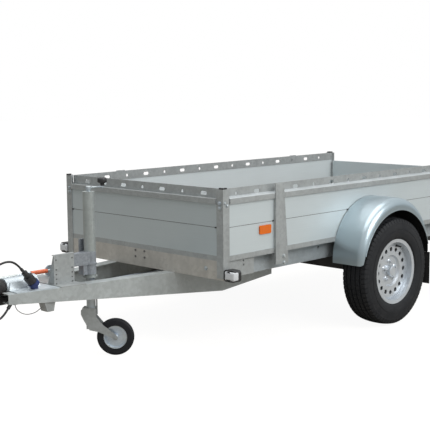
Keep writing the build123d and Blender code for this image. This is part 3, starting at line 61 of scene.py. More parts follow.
forward = Vector(
    (
        math.cos(CAMERA_HEADING) * math.cos(CAMERA_DIP),
        math.sin(CAMERA_HEADING) * math.cos(CAMERA_DIP),
        -math.sin(CAMERA_DIP),
    )
)
level_right = Vector((math.sin(CAMERA_HEADING), -math.cos(CAMERA_HEADING), 0))
level_down = forward.cross(level_right)
right = level_right * math.cos(CAMERA_ROLL) + level_down * math.sin(CAMERA_ROLL)
down = level_down * math.cos(CAMERA_ROLL) - level_right * math.sin(CAMERA_ROLL)
camera_data = bpy.data.cameras.new("camera")
camera_data.lens = CAMERA_LENS
camera_data.sensor_width = SENSOR_WIDTH
camera = bpy.data.objects.new("camera", camera_data)
camera_turn = Matrix((right, -down, -forward)).transposed().to_4x4()
camera.matrix_world = Matrix.Translation(CAMERA_PLACE) @ camera_turn
bpy.context.scene.collection.objects.link(camera)
bpy.context.scene.camera = camera
bpy.context.scene.view_settings.view_transform = "Standard"


# ---------------------------------------------------------------- shader helpers
def add_node(tree, kind, inputs=None, **settings):
    """Add a node; an input's value may be another node's output."""
    node = tree.nodes.new(kind)
    for name, value in settings.items():
        setattr(node, name, value)
    for name, value in (inputs or {}).items():
        if isinstance(value, bpy.types.NodeSocket):
            tree.links.new(value, node.inputs[name])
        else:
            node.inputs[name].default_value = value
    return node


def material(name, color, metallic=0.0, roughness=0.5, **sockets):
    """A material with constant values on its shader's own sockets."""
    made = bpy.data.materials.new(name)
    made.use_nodes = True
    shader = made.node_tree.nodes["Principled BSDF"]
    shader.inputs["Base Color"].default_value = (*color, 1)
    shader.inputs["Metallic"].default_value = metallic
    shader.inputs["Roughness"].default_value = roughness
    for socket, value in sockets.items():
        shader.inputs[socket.replace("_", " ")].default_value = value
    return made, made.node_tree, shader


def place_on(tree, scale=(1, 1, 1)):
    """Points of the piece at rest, stretched by scale."""
    coordinates = add_node(tree, "ShaderNodeTexCoord")
    return add_node(
        tree, "ShaderNodeMapping", {"Vector": coordinates.outputs["Object"], "Scale": scale}
    ).outputs["Vector"]


def noise(tree, scale, detail=3, stretch=(1, 1, 1), roughness=0.5):
    """Cloudy noise from 0 to 1, in points of the piece at rest."""
    return add_node(
        tree,
        "ShaderNodeTexNoise",
        {"Vector": place_on(tree, stretch), "Scale": scale, "Detail": detail, "Roughness": roughness},
    ).outputs["Fac"]


def ramp(tree, value, *stops):
    """Map a value through stops of (position, colour or grey)."""
    node = add_node(tree, "ShaderNodeValToRGB", {"Fac": value})
    elements = node.color_ramp.elements
    while len(elements) < len(stops):
        elements.new(0.5)
    for element, (position, color) in zip(elements, stops):
        element.position = position
        element.color = (*color, 1) if isinstance(color, tuple) else (color, color, color, 1)
    return node.outputs["Color"]


def mix(tree, factor, first, second, blend="MIX"):
    """Blend two colours; each may be a constant or another node's output."""
    node = add_node(tree, "ShaderNodeMix", data_type="RGBA", blend_type=blend)
    for index, value in ((0, factor), (6, first), (7, second)):
        if isinstance(value, bpy.types.NodeSocket):
            tree.links.new(value, node.inputs[index])
        elif isinstance(value, tuple):
            node.inputs[index].default_value = (*value, 1)
        else:
            node.inputs[index].default_value = value
    return node.outputs[2]


def bump(tree, shader, height, strength, distance):
    """Small relief on a shader; distance is in metres."""
    node = add_node(
        tree, "ShaderNodeBump", {"Height": height, "Strength": strength, "Distance": distance}
    )
    tree.links.new(node.outputs["Normal"], shader.inputs["Normal"])


def calculate(tree, operation, first, second=0.0):
    """The output of a math node."""
    node = add_node(tree, "ShaderNodeMath", operation=operation)
    for index, value in enumerate((first, second)):
        if isinstance(value, bpy.types.NodeSocket):
            tree.links.new(value, node.inputs[index])
        else:
            node.inputs[index].default_value = value
    return node.outputs["Value"]


# ---------------------------------------------------------------- metals
def galvanised(name, tone, metallic=0.6, spangle=75.0, contrast=0.14, rough=(0.32, 0.46)):
    """Hot-dip zinc: crystal spangle, cloudy patches, drips and a dull sheen."""
    made, tree, shader = material(name, tone, metallic, 0.45)
    cells = add_node(
        tree, "ShaderNodeTexVoronoi", {"Vector": place_on(tree), "Scale": spangle, "Randomness": 1.0}
    )
    grey = add_node(tree, "ShaderNodeSeparateColor", {"Color": cells.outputs["Color"]}).outputs["Red"]
    crystals = ramp(tree, grey, (0.0, 1 - contrast), (1.0, 1.0))
    clouds = ramp(tree, noise(tree, 5.0, 5), (0.3, 0.93), (0.7, 1.03))
    drips = ramp(tree, noise(tree, 22.0, 4, (1, 1, 0.14)), (0.35, 0.95), (0.65, 1.03))
    shaded = mix(tree, 1.0, mix(tree, 1.0, tone, crystals, "MULTIPLY"), clouds, "MULTIPLY")
    tree.links.new(mix(tree, 1.0, shaded, drips, "MULTIPLY"), shader.inputs["Base Color"])
    tree.links.new(ramp(tree, grey, (0.0, rough[0]), (1.0, rough[1])), shader.inputs["Roughness"])
    bump(tree, shader, mix(tree, 0.3, grey, noise(tree, 260.0, 4)), 0.16, 0.0006)
    return made


def anodised(name, tone, metallic=0.55, rough=(0.30, 0.42)):
    """Rolled and anodised aluminium planks: fine lines along the plank and a faint cloudiness."""
    made, tree, shader = material(name, tone, metallic, 0.36)
    lines = noise(tree, 3.0, 6, (1.2, 1.2, 260.0), 0.6)
    clouds = noise(tree, 2.2, 4)
    shaded = mix(tree, 1.0, tone, ramp(tree, lines, (0.3, 0.96), (0.7, 1.02)), "MULTIPLY")
    cloudy = mix(tree, 1.0, shaded, ramp(tree, clouds, (0.3, 0.97), (0.7, 1.02)), "MULTIPLY")
    tree.links.new(cloudy, shader.inputs["Base Color"])
    tree.links.new(ramp(tree, lines, (0.3, rough[0]), (0.7, rough[1])), shader.inputs["Roughness"])
    bump(tree, shader, lines, 0.10, 0.0004)
    return made


def fender_zinc(name, tone, centre):
    """Smooth zinc sheet outside; the faces towards the wheel get a near-black, dull, non-metal painted shade.
    """
    made, tree, shader = material(name, tone, 0.8, 0.3)
    position = add_node(tree, "ShaderNodeTexCoord").outputs["Object"]
    outward = add_node(tree, "ShaderNodeVectorMath", operation="SUBTRACT")
    tree.links.new(position, outward.inputs[0])
    outward.inputs[1].default_value = centre
    facing = add_node(tree, "ShaderNodeVectorMath", operation="DOT_PRODUCT")
    tree.links.new(outward.outputs["Vector"], facing.inputs[0])
    tree.links.new(add_node(tree, "ShaderNodeNewGeometry").outputs["True Normal"], facing.inputs[1])
    outside = calculate(tree, "GREATER_THAN", facing.outputs["Value"], 0.0)
    clouds = noise(tree, 2.0, 3)
    fine = noise(tree, 60.0, 2, (1, 0.3, 1))
    shaded = mix(tree, 1.0, tone, ramp(tree, clouds, (0.3, 0.97), (0.7, 1.01)), "MULTIPLY")
    # Painted shade: faces that point at the wheel's cavity are near-black and dull instead of zinc.
    tree.links.new(mix(tree, outside, (0.012, 0.012, 0.013), shaded), shader.inputs["Base Color"])
    tree.links.new(calculate(tree, "MULTIPLY", outside, 0.75), shader.inputs["Metallic"])
    satin = ramp(tree, fine, (0.3, 0.30), (0.7, 0.33))
    tree.links.new(mix(tree, outside, (0.8, 0.8, 0.8), satin), shader.inputs["Roughness"])
    return made


def plated(name, tone, rough=(0.16, 0.34), metallic=0.95):
    """Bright zinc plate with handling marks and a little blue passivation."""
    made, tree, shader = material(name, tone, metallic, 0.25)
    patches = noise(tree, 14.0, 5)
    scratches = noise(tree, 140.0, 4, (1, 0.15, 1))
    blue = mix(tree, ramp(tree, patches, (0.35, 0.0), (0.75, 1.0)), tone, (0.50, 0.58, 0.68))
    shaded = mix(tree, 1.0, blue, ramp(tree, scratches, (0.3, 0.86), (0.7, 1.0)), "MULTIPLY")
    tree.links.new(shaded, shader.inputs["Base Color"])
    tree.links.new(ramp(tree, patches, (0.3, rough[0]), (0.75, rough[1])), shader.inputs["Roughness"])
    bump(tree, shader, scratches, 0.08, 0.0003)
    return made


def lacquer(name, tone, rough=0.34, metallic=0.55, flake=900.0):
    """Metallic paint: fine flakes under a satin clear coat."""
    made, tree, shader = material(name, tone, metallic, rough, Coat_Weight=0.3, Coat_Roughness=0.2)
    sparkle = add_node(tree, "ShaderNodeTexVoronoi", {"Vector": place_on(tree), "Scale": flake})
    grey = add_node(tree, "ShaderNodeSeparateColor", {"Color": sparkle.outputs["Color"]}).outputs["Green"]
    dust = ramp(tree, noise(tree, 12.0, 5), (0.3, 0.9), (0.7, 1.02))
    flakes = mix(tree, 1.0, tone, ramp(tree, grey, (0.0, 0.9), (1.0, 1.05)), "MULTIPLY")
    tree.links.new(mix(tree, 1.0, flakes, dust, "MULTIPLY"), shader.inputs["Base Color"])
    bump(tree, shader, noise(tree, 240.0, 2), 0.05, 0.0003)
    return made


def paint(name, tone, rough=(0.4, 0.6), metallic=0.0, wear=(0.25, 0.24, 0.23)):
    """Sprayed paint with an orange-peel skin, dust and a few rubbed spots."""
    made, tree, shader = material(name, tone, metallic, 0.5)
    rubbed = ramp(tree, noise(tree, 48.0, 6, roughness=0.7), (0.66, 0.0), (0.74, 0.7))
    tree.links.new(mix(tree, rubbed, tone, wear), shader.inputs["Base Color"])
    satin = ramp(tree, noise(tree, 9.0, 4), (0.3, rough[0]), (0.7, rough[1]))
    tree.links.new(satin, shader.inputs["Roughness"])
    bump(tree, shader, noise(tree, 420.0, 2), 0.12, 0.0003)
    return made


# ---------------------------------------------------------------- rubber, plastic, wood
def moulded(name, tone, rough=(0.38, 0.55), grain=700.0, dust=(0.09, 0.09, 0.09)):
    """Moulded plastic or rubber with a fine grain and dust in its hollows."""
    made, tree, shader = material(name, tone, 0.0, 0.45)
    dusty = ramp(tree, noise(tree, 18.0, 6, roughness=0.65), (0.52, 0.0), (0.8, 0.45))
    tree.links.new(mix(tree, dusty, tone, dust), shader.inputs["Base Color"])
    satin = ramp(tree, noise(tree, 11.0, 4), (0.3, rough[0]), (0.7, rough[1]))
    tree.links.new(satin, shader.inputs["Roughness"])
    bump(tree, shader, noise(tree, grain, 3), 0.15, 0.0003)
    return made


def tyre_rubber(name):
    """Carbon rubber, nearly black and dull, with grey dust specks."""
    made, tree, shader = material(name, (0.010, 0.010, 0.012), 0.0, 0.7, Specular_IOR_Level=0.3)
    speckle = ramp(tree, noise(tree, 30.0, 7, roughness=0.7), (0.45, 0.0), (0.75, 0.5))
    tree.links.new(
        mix(tree, speckle, (0.008, 0.009, 0.011), (0.022, 0.022, 0.023)), shader.inputs["Base Color"]
    )
    tree.links.new(ramp(tree, noise(tree, 9.0, 4), (0.3, 0.55), (0.7, 0.78)), shader.inputs["Roughness"])
    bump(tree, shader, noise(tree, 380.0, 4), 0.18, 0.0004)
    return made


def ribbed_lens(name, tone, pitch=0.004):
    """A moulded lens or reflector: small prisms behind a glossy face."""
    made, tree, shader = material(name, tone, 0.0, 0.22, Coat_Weight=0.15, Coat_Roughness=0.1)
    prisms = add_node(
        tree,
        "ShaderNodeTexVoronoi",
        {"Vector": place_on(tree), "Scale": 1 / pitch, "Randomness": 0.0},
        distance="CHEBYCHEV",
    )
    bright = ramp(tree, prisms.outputs["Distance"], (0.0, 1.0), (0.6, 0.72))
    tree.links.new(mix(tree, 1.0, tone, bright, "MULTIPLY"), shader.inputs["Base Color"])
    bump(tree, shader, prisms.outputs["Distance"], 0.25, 0.0006)
    return made


def tail_lens(name, half_width):
    """Rear lamp cover: amber outside, red in the middle and clear inside, with fine ribs."""
    made, tree, shader = material(name, (0.5, 0.02, 0.02), 0.0, 0.16, Coat_Weight=0.6, Coat_Roughness=0.05)
    across = add_node(tree, "ShaderNodeSeparateXYZ", {"Vector": place_on(tree)}).outputs["Y"]
    distance = calculate(tree, "DIVIDE", calculate(tree, "ABSOLUTE", across), half_width)
    clear, red, amber = (0.75, 0.75, 0.75), (0.50, 0.012, 0.012), (0.85, 0.24, 0.01)
    bands = ramp(tree, distance, (0.0, clear), (0.72, red), (0.85, amber))
    bands.node.color_ramp.interpolation = "CONSTANT"
    ribs = noise(tree, 2.0, 0, (1, 420, 1))
    ribbed = mix(tree, 1.0, bands, ramp(tree, ribs, (0.3, 0.8), (0.7, 1.0)), "MULTIPLY")
    tree.links.new(ribbed, shader.inputs["Base Color"])
    bump(tree, shader, ribs, 0.3, 0.0006)
    return made


def film_plywood(name):
    """Brown phenolic film over plywood, with a pressed wire mesh against slipping."""
    made, tree, shader = material(name, (0.060, 0.034, 0.022), 0.0, 0.42)
    mesh = add_node(
        tree,
        "ShaderNodeTexVoronoi",
        {"Vector": place_on(tree), "Scale": 230.0, "Randomness": 0.0},
        feature="DISTANCE_TO_EDGE",
    ).outputs["Distance"]
    worn = ramp(tree, noise(tree, 7.0, 7, (1, 2, 1), 0.65), (0.4, 0.0), (0.75, 1.0))
    tree.links.new(mix(tree, worn, (0.050, 0.028, 0.018), (0.115, 0.072, 0.048)), shader.inputs["Base Color"])
    tree.links.new(ramp(tree, mesh, (0.0, 0.6), (0.2, 0.36)), shader.inputs["Roughness"])
    bump(tree, shader, ramp(tree, mesh, (0.0, 0.0), (0.15, 1.0)), 0.35, 0.0006)
    return made


def sheeting(name):
    """Retro-reflective sheet of a blank number plate, with its fine honeycomb."""
    made, tree, shader = material(name, (0.80, 0.81, 0.80), 0.0, 0.3)
    cells = add_node(
        tree,
        "ShaderNodeTexVoronoi",
        {"Vector": place_on(tree), "Scale": 300.0, "Randomness": 0.1},
        feature="DISTANCE_TO_EDGE",
    ).outputs["Distance"]
    tree.links.new(ramp(tree, cells, (0.0, 0.66), (0.1, 0.80)), shader.inputs["Base Color"])
    bump(tree, shader, cells, 0.05, 0.0003)
    return made


# ---------------------------------------------------------------- finishes of the record's slots
wheel_low, wheel_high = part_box("tyre_left")
wheel_centre = (wheel_low + wheel_high) / 2
fender_bottom_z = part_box("fender_left")[0].z
tail_half_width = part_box("tail_lamps")[1].y
FENDER_TONE = (0.345, 0.415, 0.45)

zinc = galvanised("galvanised_zinc", (0.36, 0.38, 0.38), 0.35)
# Painted reflection: the warm tan cast of this copy stands for the warm ground reflected in the frame; its
# grey is the zinc's own tone.
frame_zinc = galvanised("galvanised_frame", (0.46, 0.445, 0.41), 0.3, 55.0, 0.12)
arm_zinc = galvanised("galvanised_drawbar", (0.43, 0.46, 0.46), 0.4, 60.0, 0.14)
# Three copies of one plank material, set for how light falls. The darker, more metallic slot copy worn by the
# front wall is painted shade. The far wall's low metallic keeps reflected shade off it.
panel_shaded_copy = anodised("anodised_planks", (0.50, 0.555, 0.57))
# Painted light: a lighter, less spangled copy of the rail zinc for the up-facing ledges and their end plates,
# standing for the light the ledges catch.
ledge_zinc = galvanised("galvanised_ledge", (0.41, 0.44, 0.45), 0.3, 75.0, 0.08)
far_panel = anodised("anodised_planks_inside", (0.55, 0.60, 0.61), 0.15)
near_panel = anodised("anodised_planks_outside", (0.54, 0.595, 0.61), 0.4)
bright_metal = plated("zinc_plated", (0.66, 0.72, 0.76), (0.26, 0.42), 0.7)
dull_metal = plated("zinc_plated_dull", (0.46, 0.49, 0.48), (0.3, 0.48), 0.7)
black_plastic = moulded("black_plastic", (0.016, 0.016, 0.017))
black_rubber = moulded("black_rubber", (0.014, 0.014, 0.015), (0.55, 0.75), 500.0)
blue_plastic = moulded("dark_blue_plastic", (0.014, 0.028, 0.11), (0.3, 0.45), 700.0, (0.02, 0.035, 0.12))
red_plastic = moulded("orange_red_grip", (0.62, 0.13, 0.05), (0.35, 0.5), 600.0, (0.5, 0.2, 0.12))
silver_paint = lacquer("silver_wheel_lacquer", (0.56, 0.60, 0.64), 0.3, 0.6)
axle_paint = paint("axle_black_paint", (0.020, 0.020, 0.021))
cast_iron = paint("machined_iron", (0.17, 0.17, 0.17), (0.35, 0.55), 0.8, (0.30, 0.29, 0.28))
clear_lens = ribbed_lens("clear_lens", (0.62, 0.64, 0.66), 0.005)

SLOT_FINISH = {
    "zinc": zinc,
    "panel": panel_shaded_copy,
    "fender_zinc": zinc,  # both fenders have finishes of their own below
    "plywood": film_plywood("film_faced_plywood"),
    "black_plastic": black_plastic,
    "black_rubber": black_rubber,
    "tyre": tyre_rubber("tyre_rubber"),
    "rim_silver": silver_paint,
    "axle_black": axle_paint,
    "hub_steel": cast_iron,
    "bright_zinc": bright_metal,
    "amber": ribbed_lens("amber_reflector", (0.72, 0.14, 0.0)),
    "clear_lens": black_plastic,  # the front lamps' housings; their lenses are pieces made below
    "red_lens": tail_lens("tail_lamp_lens", tail_half_width),
    "plate": sheeting("blank_plate_sheeting"),
    "lever": dull_metal,
}
NODE_FINISH = {
    "frame_end_beams": frame_zinc,
    "frame_side_beams": galvanised("galvanised_side_beam", (0.36, 0.40, 0.42), 0.4, 60.0, 0.14),
    "side_wall_right": far_panel,
    "overrun_housing": galvanised("galvanised_housing", (0.48, 0.53, 0.56), 0.4, 60.0, 0.10),
    "drawbar_arm_left": arm_zinc,
    "drawbar_arm_right": arm_zinc,
    "plug_holder": blue_plastic,
    "jockey_outer_tube": galvanised("galvanised_tube", (0.36, 0.39, 0.38), 0.45, 90.0, 0.10),
    "jockey_clamp": galvanised("cast_clamp", (0.31, 0.335, 0.365), 0.5, 120.0, 0.22),
    "side_wall_left": near_panel,
    "jockey_inner_tube": dull_metal,
}
for side in ("left", "right"):
    low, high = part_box("fender_" + side)
    cavity = Vector((wheel_centre.x, (low.y + high.y) / 2, fender_bottom_z))
    NODE_FINISH["fender_" + side] = fender_zinc("fender_zinc_" + side, FENDER_TONE, cavity)

for part in frame["record"]["subparts"]:
    finish = NODE_FINISH.get(part["node"], SLOT_FINISH[part["material_slot"]])
    mesh = nodes[part["node"]].data
    mesh.materials.clear()
    mesh.materials.append(finish)


# ---------------------------------------------------------------- mesh helpers
def piece_from(mesh_maker, name, finish, body, smooth=40):
    """Turn a bmesh into a named piece that rides on a body."""
    mesh = bpy.data.meshes.new(name)
    bmesh.ops.recalc_face_normals(mesh_maker, faces=mesh_maker.faces)
    mesh_maker.to_mesh(mesh)
    mesh_maker.free()
    mesh.materials.append(finish)
    mesh.shade_smooth()
    mesh.set_sharp_from_angle(angle=math.radians(smooth))
    piece = bpy.data.objects.new(name, mesh)
    bpy.context.scene.collection.objects.link(piece)
    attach(piece, body)
    return piece


def turn_to(axis):
    """Rotation that turns +Z to an axis."""
    return Vector(axis).to_track_quat("Z", "Y").to_matrix().to_4x4()


def round_point(radius, angle, height=0.0):
    """A point on a circle about Z."""
    return Vector((radius * math.cos(angle), radius * math.sin(angle), height))


def lathe(made, place, axis, profile, segments=32):
    """Turn (radius, height) points about an axis; points at radius 0 close the ends."""
    turn = Matrix.Translation(place) @ turn_to(axis)
    rings = []
    for radius, height in profile:
        if radius == 0:
            rings.append([made.verts.new(turn @ Vector((0, 0, height)))])
            continue
        ring = []
        for step in range(segments):
            angle = 2 * math.pi * step / segments
            ring.append(made.verts.new(turn @ round_point(radius, angle, height)))
        rings.append(ring)
    for lower, upper in zip(rings, rings[1:]):
        for step in range(segments):
            corners = []
            for vert in (
                lower[step % len(lower)],
                lower[(step + 1) % segments % len(lower)],
                upper[(step + 1) % segments % len(upper)],
                upper[step % len(upper)],
            ):
                if vert not in corners:
                    corners.append(vert)
            made.faces.new(corners)


def hex_bolt(made, place, axis, size=0.010, washer=True, turn=0.0):
    """A hexagon head with its chamfer, on a washer; size is half the width across the corners."""
    place = Vector(place)
    axis = Vector(axis).normalized()
    foot = 0.0
    if washer:
        wide, foot = 1.45 * size, 0.16 * size
        lathe(made, place, axis, [(0, 0), (wide, 0), (wide, foot), (0, foot)], 24)
    matrix = Matrix.Translation(place) @ turn_to(axis) @ Matrix.Rotation(turn, 4, "Z")
    rings = []
    for radius, height in ((size, foot), (size, foot + 0.58 * size), (0.84 * size, foot + 0.70 * size)):
        corners = [matrix @ round_point(radius, math.pi * k / 3, height) for k in range(6)]
        rings.append([made.verts.new(corner) for corner in corners])
    made.faces.new(reversed(rings[0]))
    made.faces.new(rings[2])
    for lower, upper in zip(rings, rings[1:]):
        for k in range(6):
            made.faces.new((lower[k], lower[(k + 1) % 6], upper[(k + 1) % 6], upper[k]))


def rounded_block(made, low, high, bevel):
    """A box between two corners with its edges rounded over."""
    low, high = Vector(tuple(low)), Vector(tuple(high))
    middle = (low + high) / 2
    size = high - low
    matrix = Matrix.Translation(middle) @ Matrix.Diagonal((*size, 1))
    verts = bmesh.ops.create_cube(made, size=1, matrix=matrix)["verts"]
    edges = list({edge for vert in verts for edge in vert.link_edges})
    bmesh.ops.bevel(made, geom=edges, offset=bevel, segments=3, profile=0.6, affect="EDGES")


def prism(made, outline, reach):
    """A closed bar: an outline of points and its copy moved by reach."""
    near = [made.verts.new(point) for point in outline]
    far = [made.verts.new(Vector(point) + Vector(reach)) for point in outline]
    made.faces.new(near)
    made.faces.new(list(reversed(far)))
    for k in range(len(near)):
        after = (k + 1) % len(near)
        made.faces.new((near[k], far[k], far[after], near[after]))


def tube(made, points, radius, segments=12):
    """A round bar along points, closed at both ends."""
    points = [Vector(point) for point in points]
    rings = []
    side = (points[1] - points[0]).orthogonal().normalized()
    for index, point in enumerate(points):
        ahead = (points[min(index + 1, len(points) - 1)] - points[max(index - 1, 0)]).normalized()
        side = (side - ahead * side.dot(ahead)).normalized()
        other = ahead.cross(side)
        rings.append(
            [
                made.verts.new(
                    point
                    + side * radius * math.cos(2 * math.pi * k / segments)
                    + other * radius * math.sin(2 * math.pi * k / segments)
                )
                for k in range(segments)
            ]
        )
    for lower, upper in zip(rings, rings[1:]):
        for k in range(segments):
            made.faces.new((lower[k], lower[(k + 1) % segments], upper[(k + 1) % segments], upper[k]))
    made.faces.new(reversed(rings[0]))
    made.faces.new(rings[-1])


# ---------------------------------------------------------------- towing cable
CABLE_ROUTE = [
    (1.4714, 0.100, 0.5353),
    (1.5003, 0.100, 0.5686),
    (1.551, 0.102, 0.585),
    (1.616, 0.106, 0.572),
    (1.676, 0.112, 0.545),
    (1.721, 0.118, 0.500),
    (1.736, 0.122, 0.440),
    (1.719, 0.121, 0.380),
    (1.686, 0.117, 0.330),
    (1.641, 0.112, 0.300),
    (1.591, 0.108, 0.312),
    (1.559, 0.105, 0.349),
]
CABLE_DIAMETER = 0.011

cable_curve = bpy.data.curves.new("towing_cable", "CURVE")
cable_curve.dimensions = "3D"
cable_curve.bevel_depth = CABLE_DIAMETER / 2
cable_curve.bevel_resolution = 4
cable_curve.resolution_u = 16
cable_curve.use_fill_caps = True
spline = cable_curve.splines.new("NURBS")
spline.points.add(len(CABLE_ROUTE) - 1)
for point, place in zip(spline.points, CABLE_ROUTE):
    point.co = (*place, 1)
spline.order_u = 3
spline.use_endpoint_u = True
cable_curve.materials.append(black_rubber)
cable = bpy.data.objects.new("towing_cable", cable_curve)
bpy.context.scene.collection.objects.link(cable)
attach(cable, "chassis")
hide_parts("plug_cable")

# ---------------------------------------------------------------- road tyres
TYRE_PITCHES = 68
GROOVE_DEPTH = 0.008
SIPE_DEPTH = 0.0055
RING_GROOVES = (-0.046, -0.016, 0.016, 0.046)
RING_GROOVE_HALF = 0.0038
SHOULDER_START = 0.056
SHOULDER_END = 0.0895


def tyre_section(half, radius, bead_half, bead_radius, flange_radius):
    """Outer contour of the tyre as (y, radius), from the inner bead to the outer one."""
    wall = [
        (bead_half, bead_radius),
        (bead_half, flange_radius + 0.0015),
        (half - 0.014, flange_radius + 0.003),
        (half - 0.0085, flange_radius + 0.010),
        (half - 0.0075, flange_radius + 0.0105),
        (half - 0.0035, flange_radius + 0.022),
        (half - 0.0005, flange_radius + 0.038),
        (half, flange_radius + 0.050),
        (half - 0.0002, flange_radius + 0.0535),
        (half - 0.0018, flange_radius + 0.0540),
        (half - 0.0020, flange_radius + 0.0575),
        (half - 0.0008, flange_radius + 0.0580),
        (half - 0.0014, flange_radius + 0.068),
        (half - 0.0032, flange_radius + 0.083),
        (half - 0.0060, radius - 0.0345),
        (half - 0.0054, radius - 0.0315),
        (half - 0.0082, radius - 0.0240),
        (half - 0.0112, radius - 0.0170),
    ]
    crown = [0.0775, 0.073, 0.067, 0.0605, 0.0565]
    for groove in reversed(RING_GROOVES):
        if groove > 0:
            crown += [groove + RING_GROOVE_HALF, groove + RING_GROOVE_HALF - 0.001]
            crown += [groove - RING_GROOVE_HALF + 0.001, groove - RING_GROOVE_HALF]
            crown += [groove - 0.012] if groove > 0.03 else []
    crown.append(0.0)
    tread = [(y, radius - 0.0085 * (y / 0.0775) ** 2.6) for y in crown]
    one_side = wall + tread
    other_side = [(-y, r) for y, r in reversed(one_side[:-1])]
    return one_side + other_side


def groove_drop(y, part):
    """How far the tread is cut in at a place across it and at a part of the pitch."""
    for groove in RING_GROOVES:
        if abs(y - groove) < RING_GROOVE_HALF - 0.0005:
            return GROOVE_DEPTH
    if SHOULDER_START <= abs(y) <= SHOULDER_END and 0.02 < part < 0.19:
        return SIPE_DEPTH
    if abs(y) < 0.056 and 0.5 < part < 0.58:
        return 0.003
    return 0.0


def tyre_mesh(low, high, bead_half, bead_radius, flange_radius, thick=0.011):
    """A closed tyre: tread blocks and grooves outside, a plain cavity inside."""
    centre = (low + high) / 2
    radius = (high.z - low.z) / 2
    half = (high.y - low.y) / 2
    outer = tyre_section(half, radius, bead_half, bead_radius, flange_radius)
    inner = [
        (-bead_half + thick, bead_radius),
        (-half + 1.5 * thick, flange_radius + 0.03),
        (-half + 1.5 * thick, flange_radius + 0.07),
        (-half + 3 * thick, radius - 2 * thick),
        (half - 3 * thick, radius - 2 * thick),
        (half - 1.5 * thick, flange_radius + 0.07),
        (half - 1.5 * thick, flange_radius + 0.03),
        (bead_half - thick, bead_radius),
    ]
    section = outer + inner
    stations = []
    for pitch in range(TYRE_PITCHES):
        for part in (0.0, 0.03, 0.18, 0.21, 0.49, 0.51, 0.57, 0.59):
            stations.append((pitch + part, part))
    made = bmesh.new()
    rings = []
    for count, part in stations:
        angle = 2 * math.pi * count / TYRE_PITCHES
        ring = []
        for index, (y, r) in enumerate(section):
            cut = 0.0
            if index < len(outer) and r > radius - 0.0335:
                cut = groove_drop(y, part)
                fade = min(1.0, max(0.0, (r - (radius - 0.0335)) / 0.012))
                cut *= fade
            ring.append(
                made.verts.new(
                    (
                        centre.x + (r - cut) * math.sin(angle),
                        centre.y + y,
                        centre.z + (r - cut) * math.cos(angle),
                    )
                )
            )
        rings.append(ring)
    for index, ring in enumerate(rings):
        following = rings[(index + 1) % len(rings)]
        for k in range(len(section)):
            after = (k + 1) % len(section)
            made.faces.new((ring[k], ring[after], following[after], following[k]))
    return made


RIM_FLANGE_RADIUS = 0.195
BEAD_RADIUS = 0.1803
BEAD_HALF = 0.0687
for side in ("left", "right"):
    low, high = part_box("tyre_" + side)
    tyre = piece_from(
        tyre_mesh(low, high, BEAD_HALF, BEAD_RADIUS, RIM_FLANGE_RADIUS),
        "road_tyre_" + side,
        SLOT_FINISH["tyre"],
        "wheel_" + side,
        30,
    )
    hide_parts("tyre_" + side)

# ---------------------------------------------------------------- wheel bolts, hub caps and valves
WHEEL_BOLTS = 5
FIRST_BOLT = 0.3  # radians
BOLT_CIRCLE = 0.056
BOLT_SIZE = 0.0105
BOLT_HEAD_OUT = 0.004
BOLT_TIP_OUT = 0.0105
BOLT_SEAT = [(0.017, -0.004), (0.017, 0.0015), (0.0145, 0.004), (0.0115, 0.005), (0, 0.005)]
BOLT_TIP = [(0.0085, 0.0), (0.0085, 0.004), (0.0065, 0.0065), (0, 0.007)]
HUB_CAP = [(0, -0.010), (0.0325, -0.010), (0.0325, 0.018), (0.030, 0.026), (0.024, 0.0285)]
HUB_CAP += [(0.0235, 0.0275), (0, 0.0275)]
BOWL_BEHIND_RIM = 0.048
VALVE_RADIUS = 0.156
VALVE_WAY = (-0.34, 0.94)  # x and z from the wheel's centre
VALVE_OUT = 0.010
VALVE_LEAN = (-0.05, -0.12)  # x and z of its axis
VALVE = [(0.0, -0.006), (0.0085, -0.004), (0.0085, 0.004), (0.0055, 0.012), (0.0045, 0.026)]
VALVE += [(0.0052, 0.028), (0.0052, 0.036), (0, 0.037)]
for side, out in (("left", 1), ("right", -1)):
    low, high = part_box("rim_" + side)
    face_y = (high.y if out > 0 else low.y) - out * BOWL_BEHIND_RIM
    made = bmesh.new()
    outward = (0, out, 0)
    for k in range(WHEEL_BOLTS):
        angle = 2 * math.pi * k / WHEEL_BOLTS + FIRST_BOLT
        x = wheel_centre.x + BOLT_CIRCLE * math.cos(angle)
        z = wheel_centre.z + BOLT_CIRCLE * math.sin(angle)
        lathe(made, (x, face_y, z), outward, BOLT_SEAT, 24)
        hex_bolt(made, (x, face_y + out * BOLT_HEAD_OUT, z), outward, BOLT_SIZE, False, angle)
        lathe(made, (x, face_y + out * BOLT_TIP_OUT, z), outward, BOLT_TIP, 20)
    lathe(made, (wheel_centre.x, face_y, wheel_centre.z), outward, HUB_CAP, 40)
    piece_from(made, "wheel_bolts_" + side, silver_paint, "wheel_" + side)

    made = bmesh.new()
    x = wheel_centre.x + VALVE_RADIUS * VALVE_WAY[0]
    z = wheel_centre.z + VALVE_RADIUS * VALVE_WAY[1]
    lean = (VALVE_LEAN[0], out, VALVE_LEAN[1])
    lathe(made, (x, face_y + out * VALVE_OUT, z), lean, VALVE, 20)
    piece_from(made, "tyre_valve_" + side, black_rubber, "wheel_" + side)

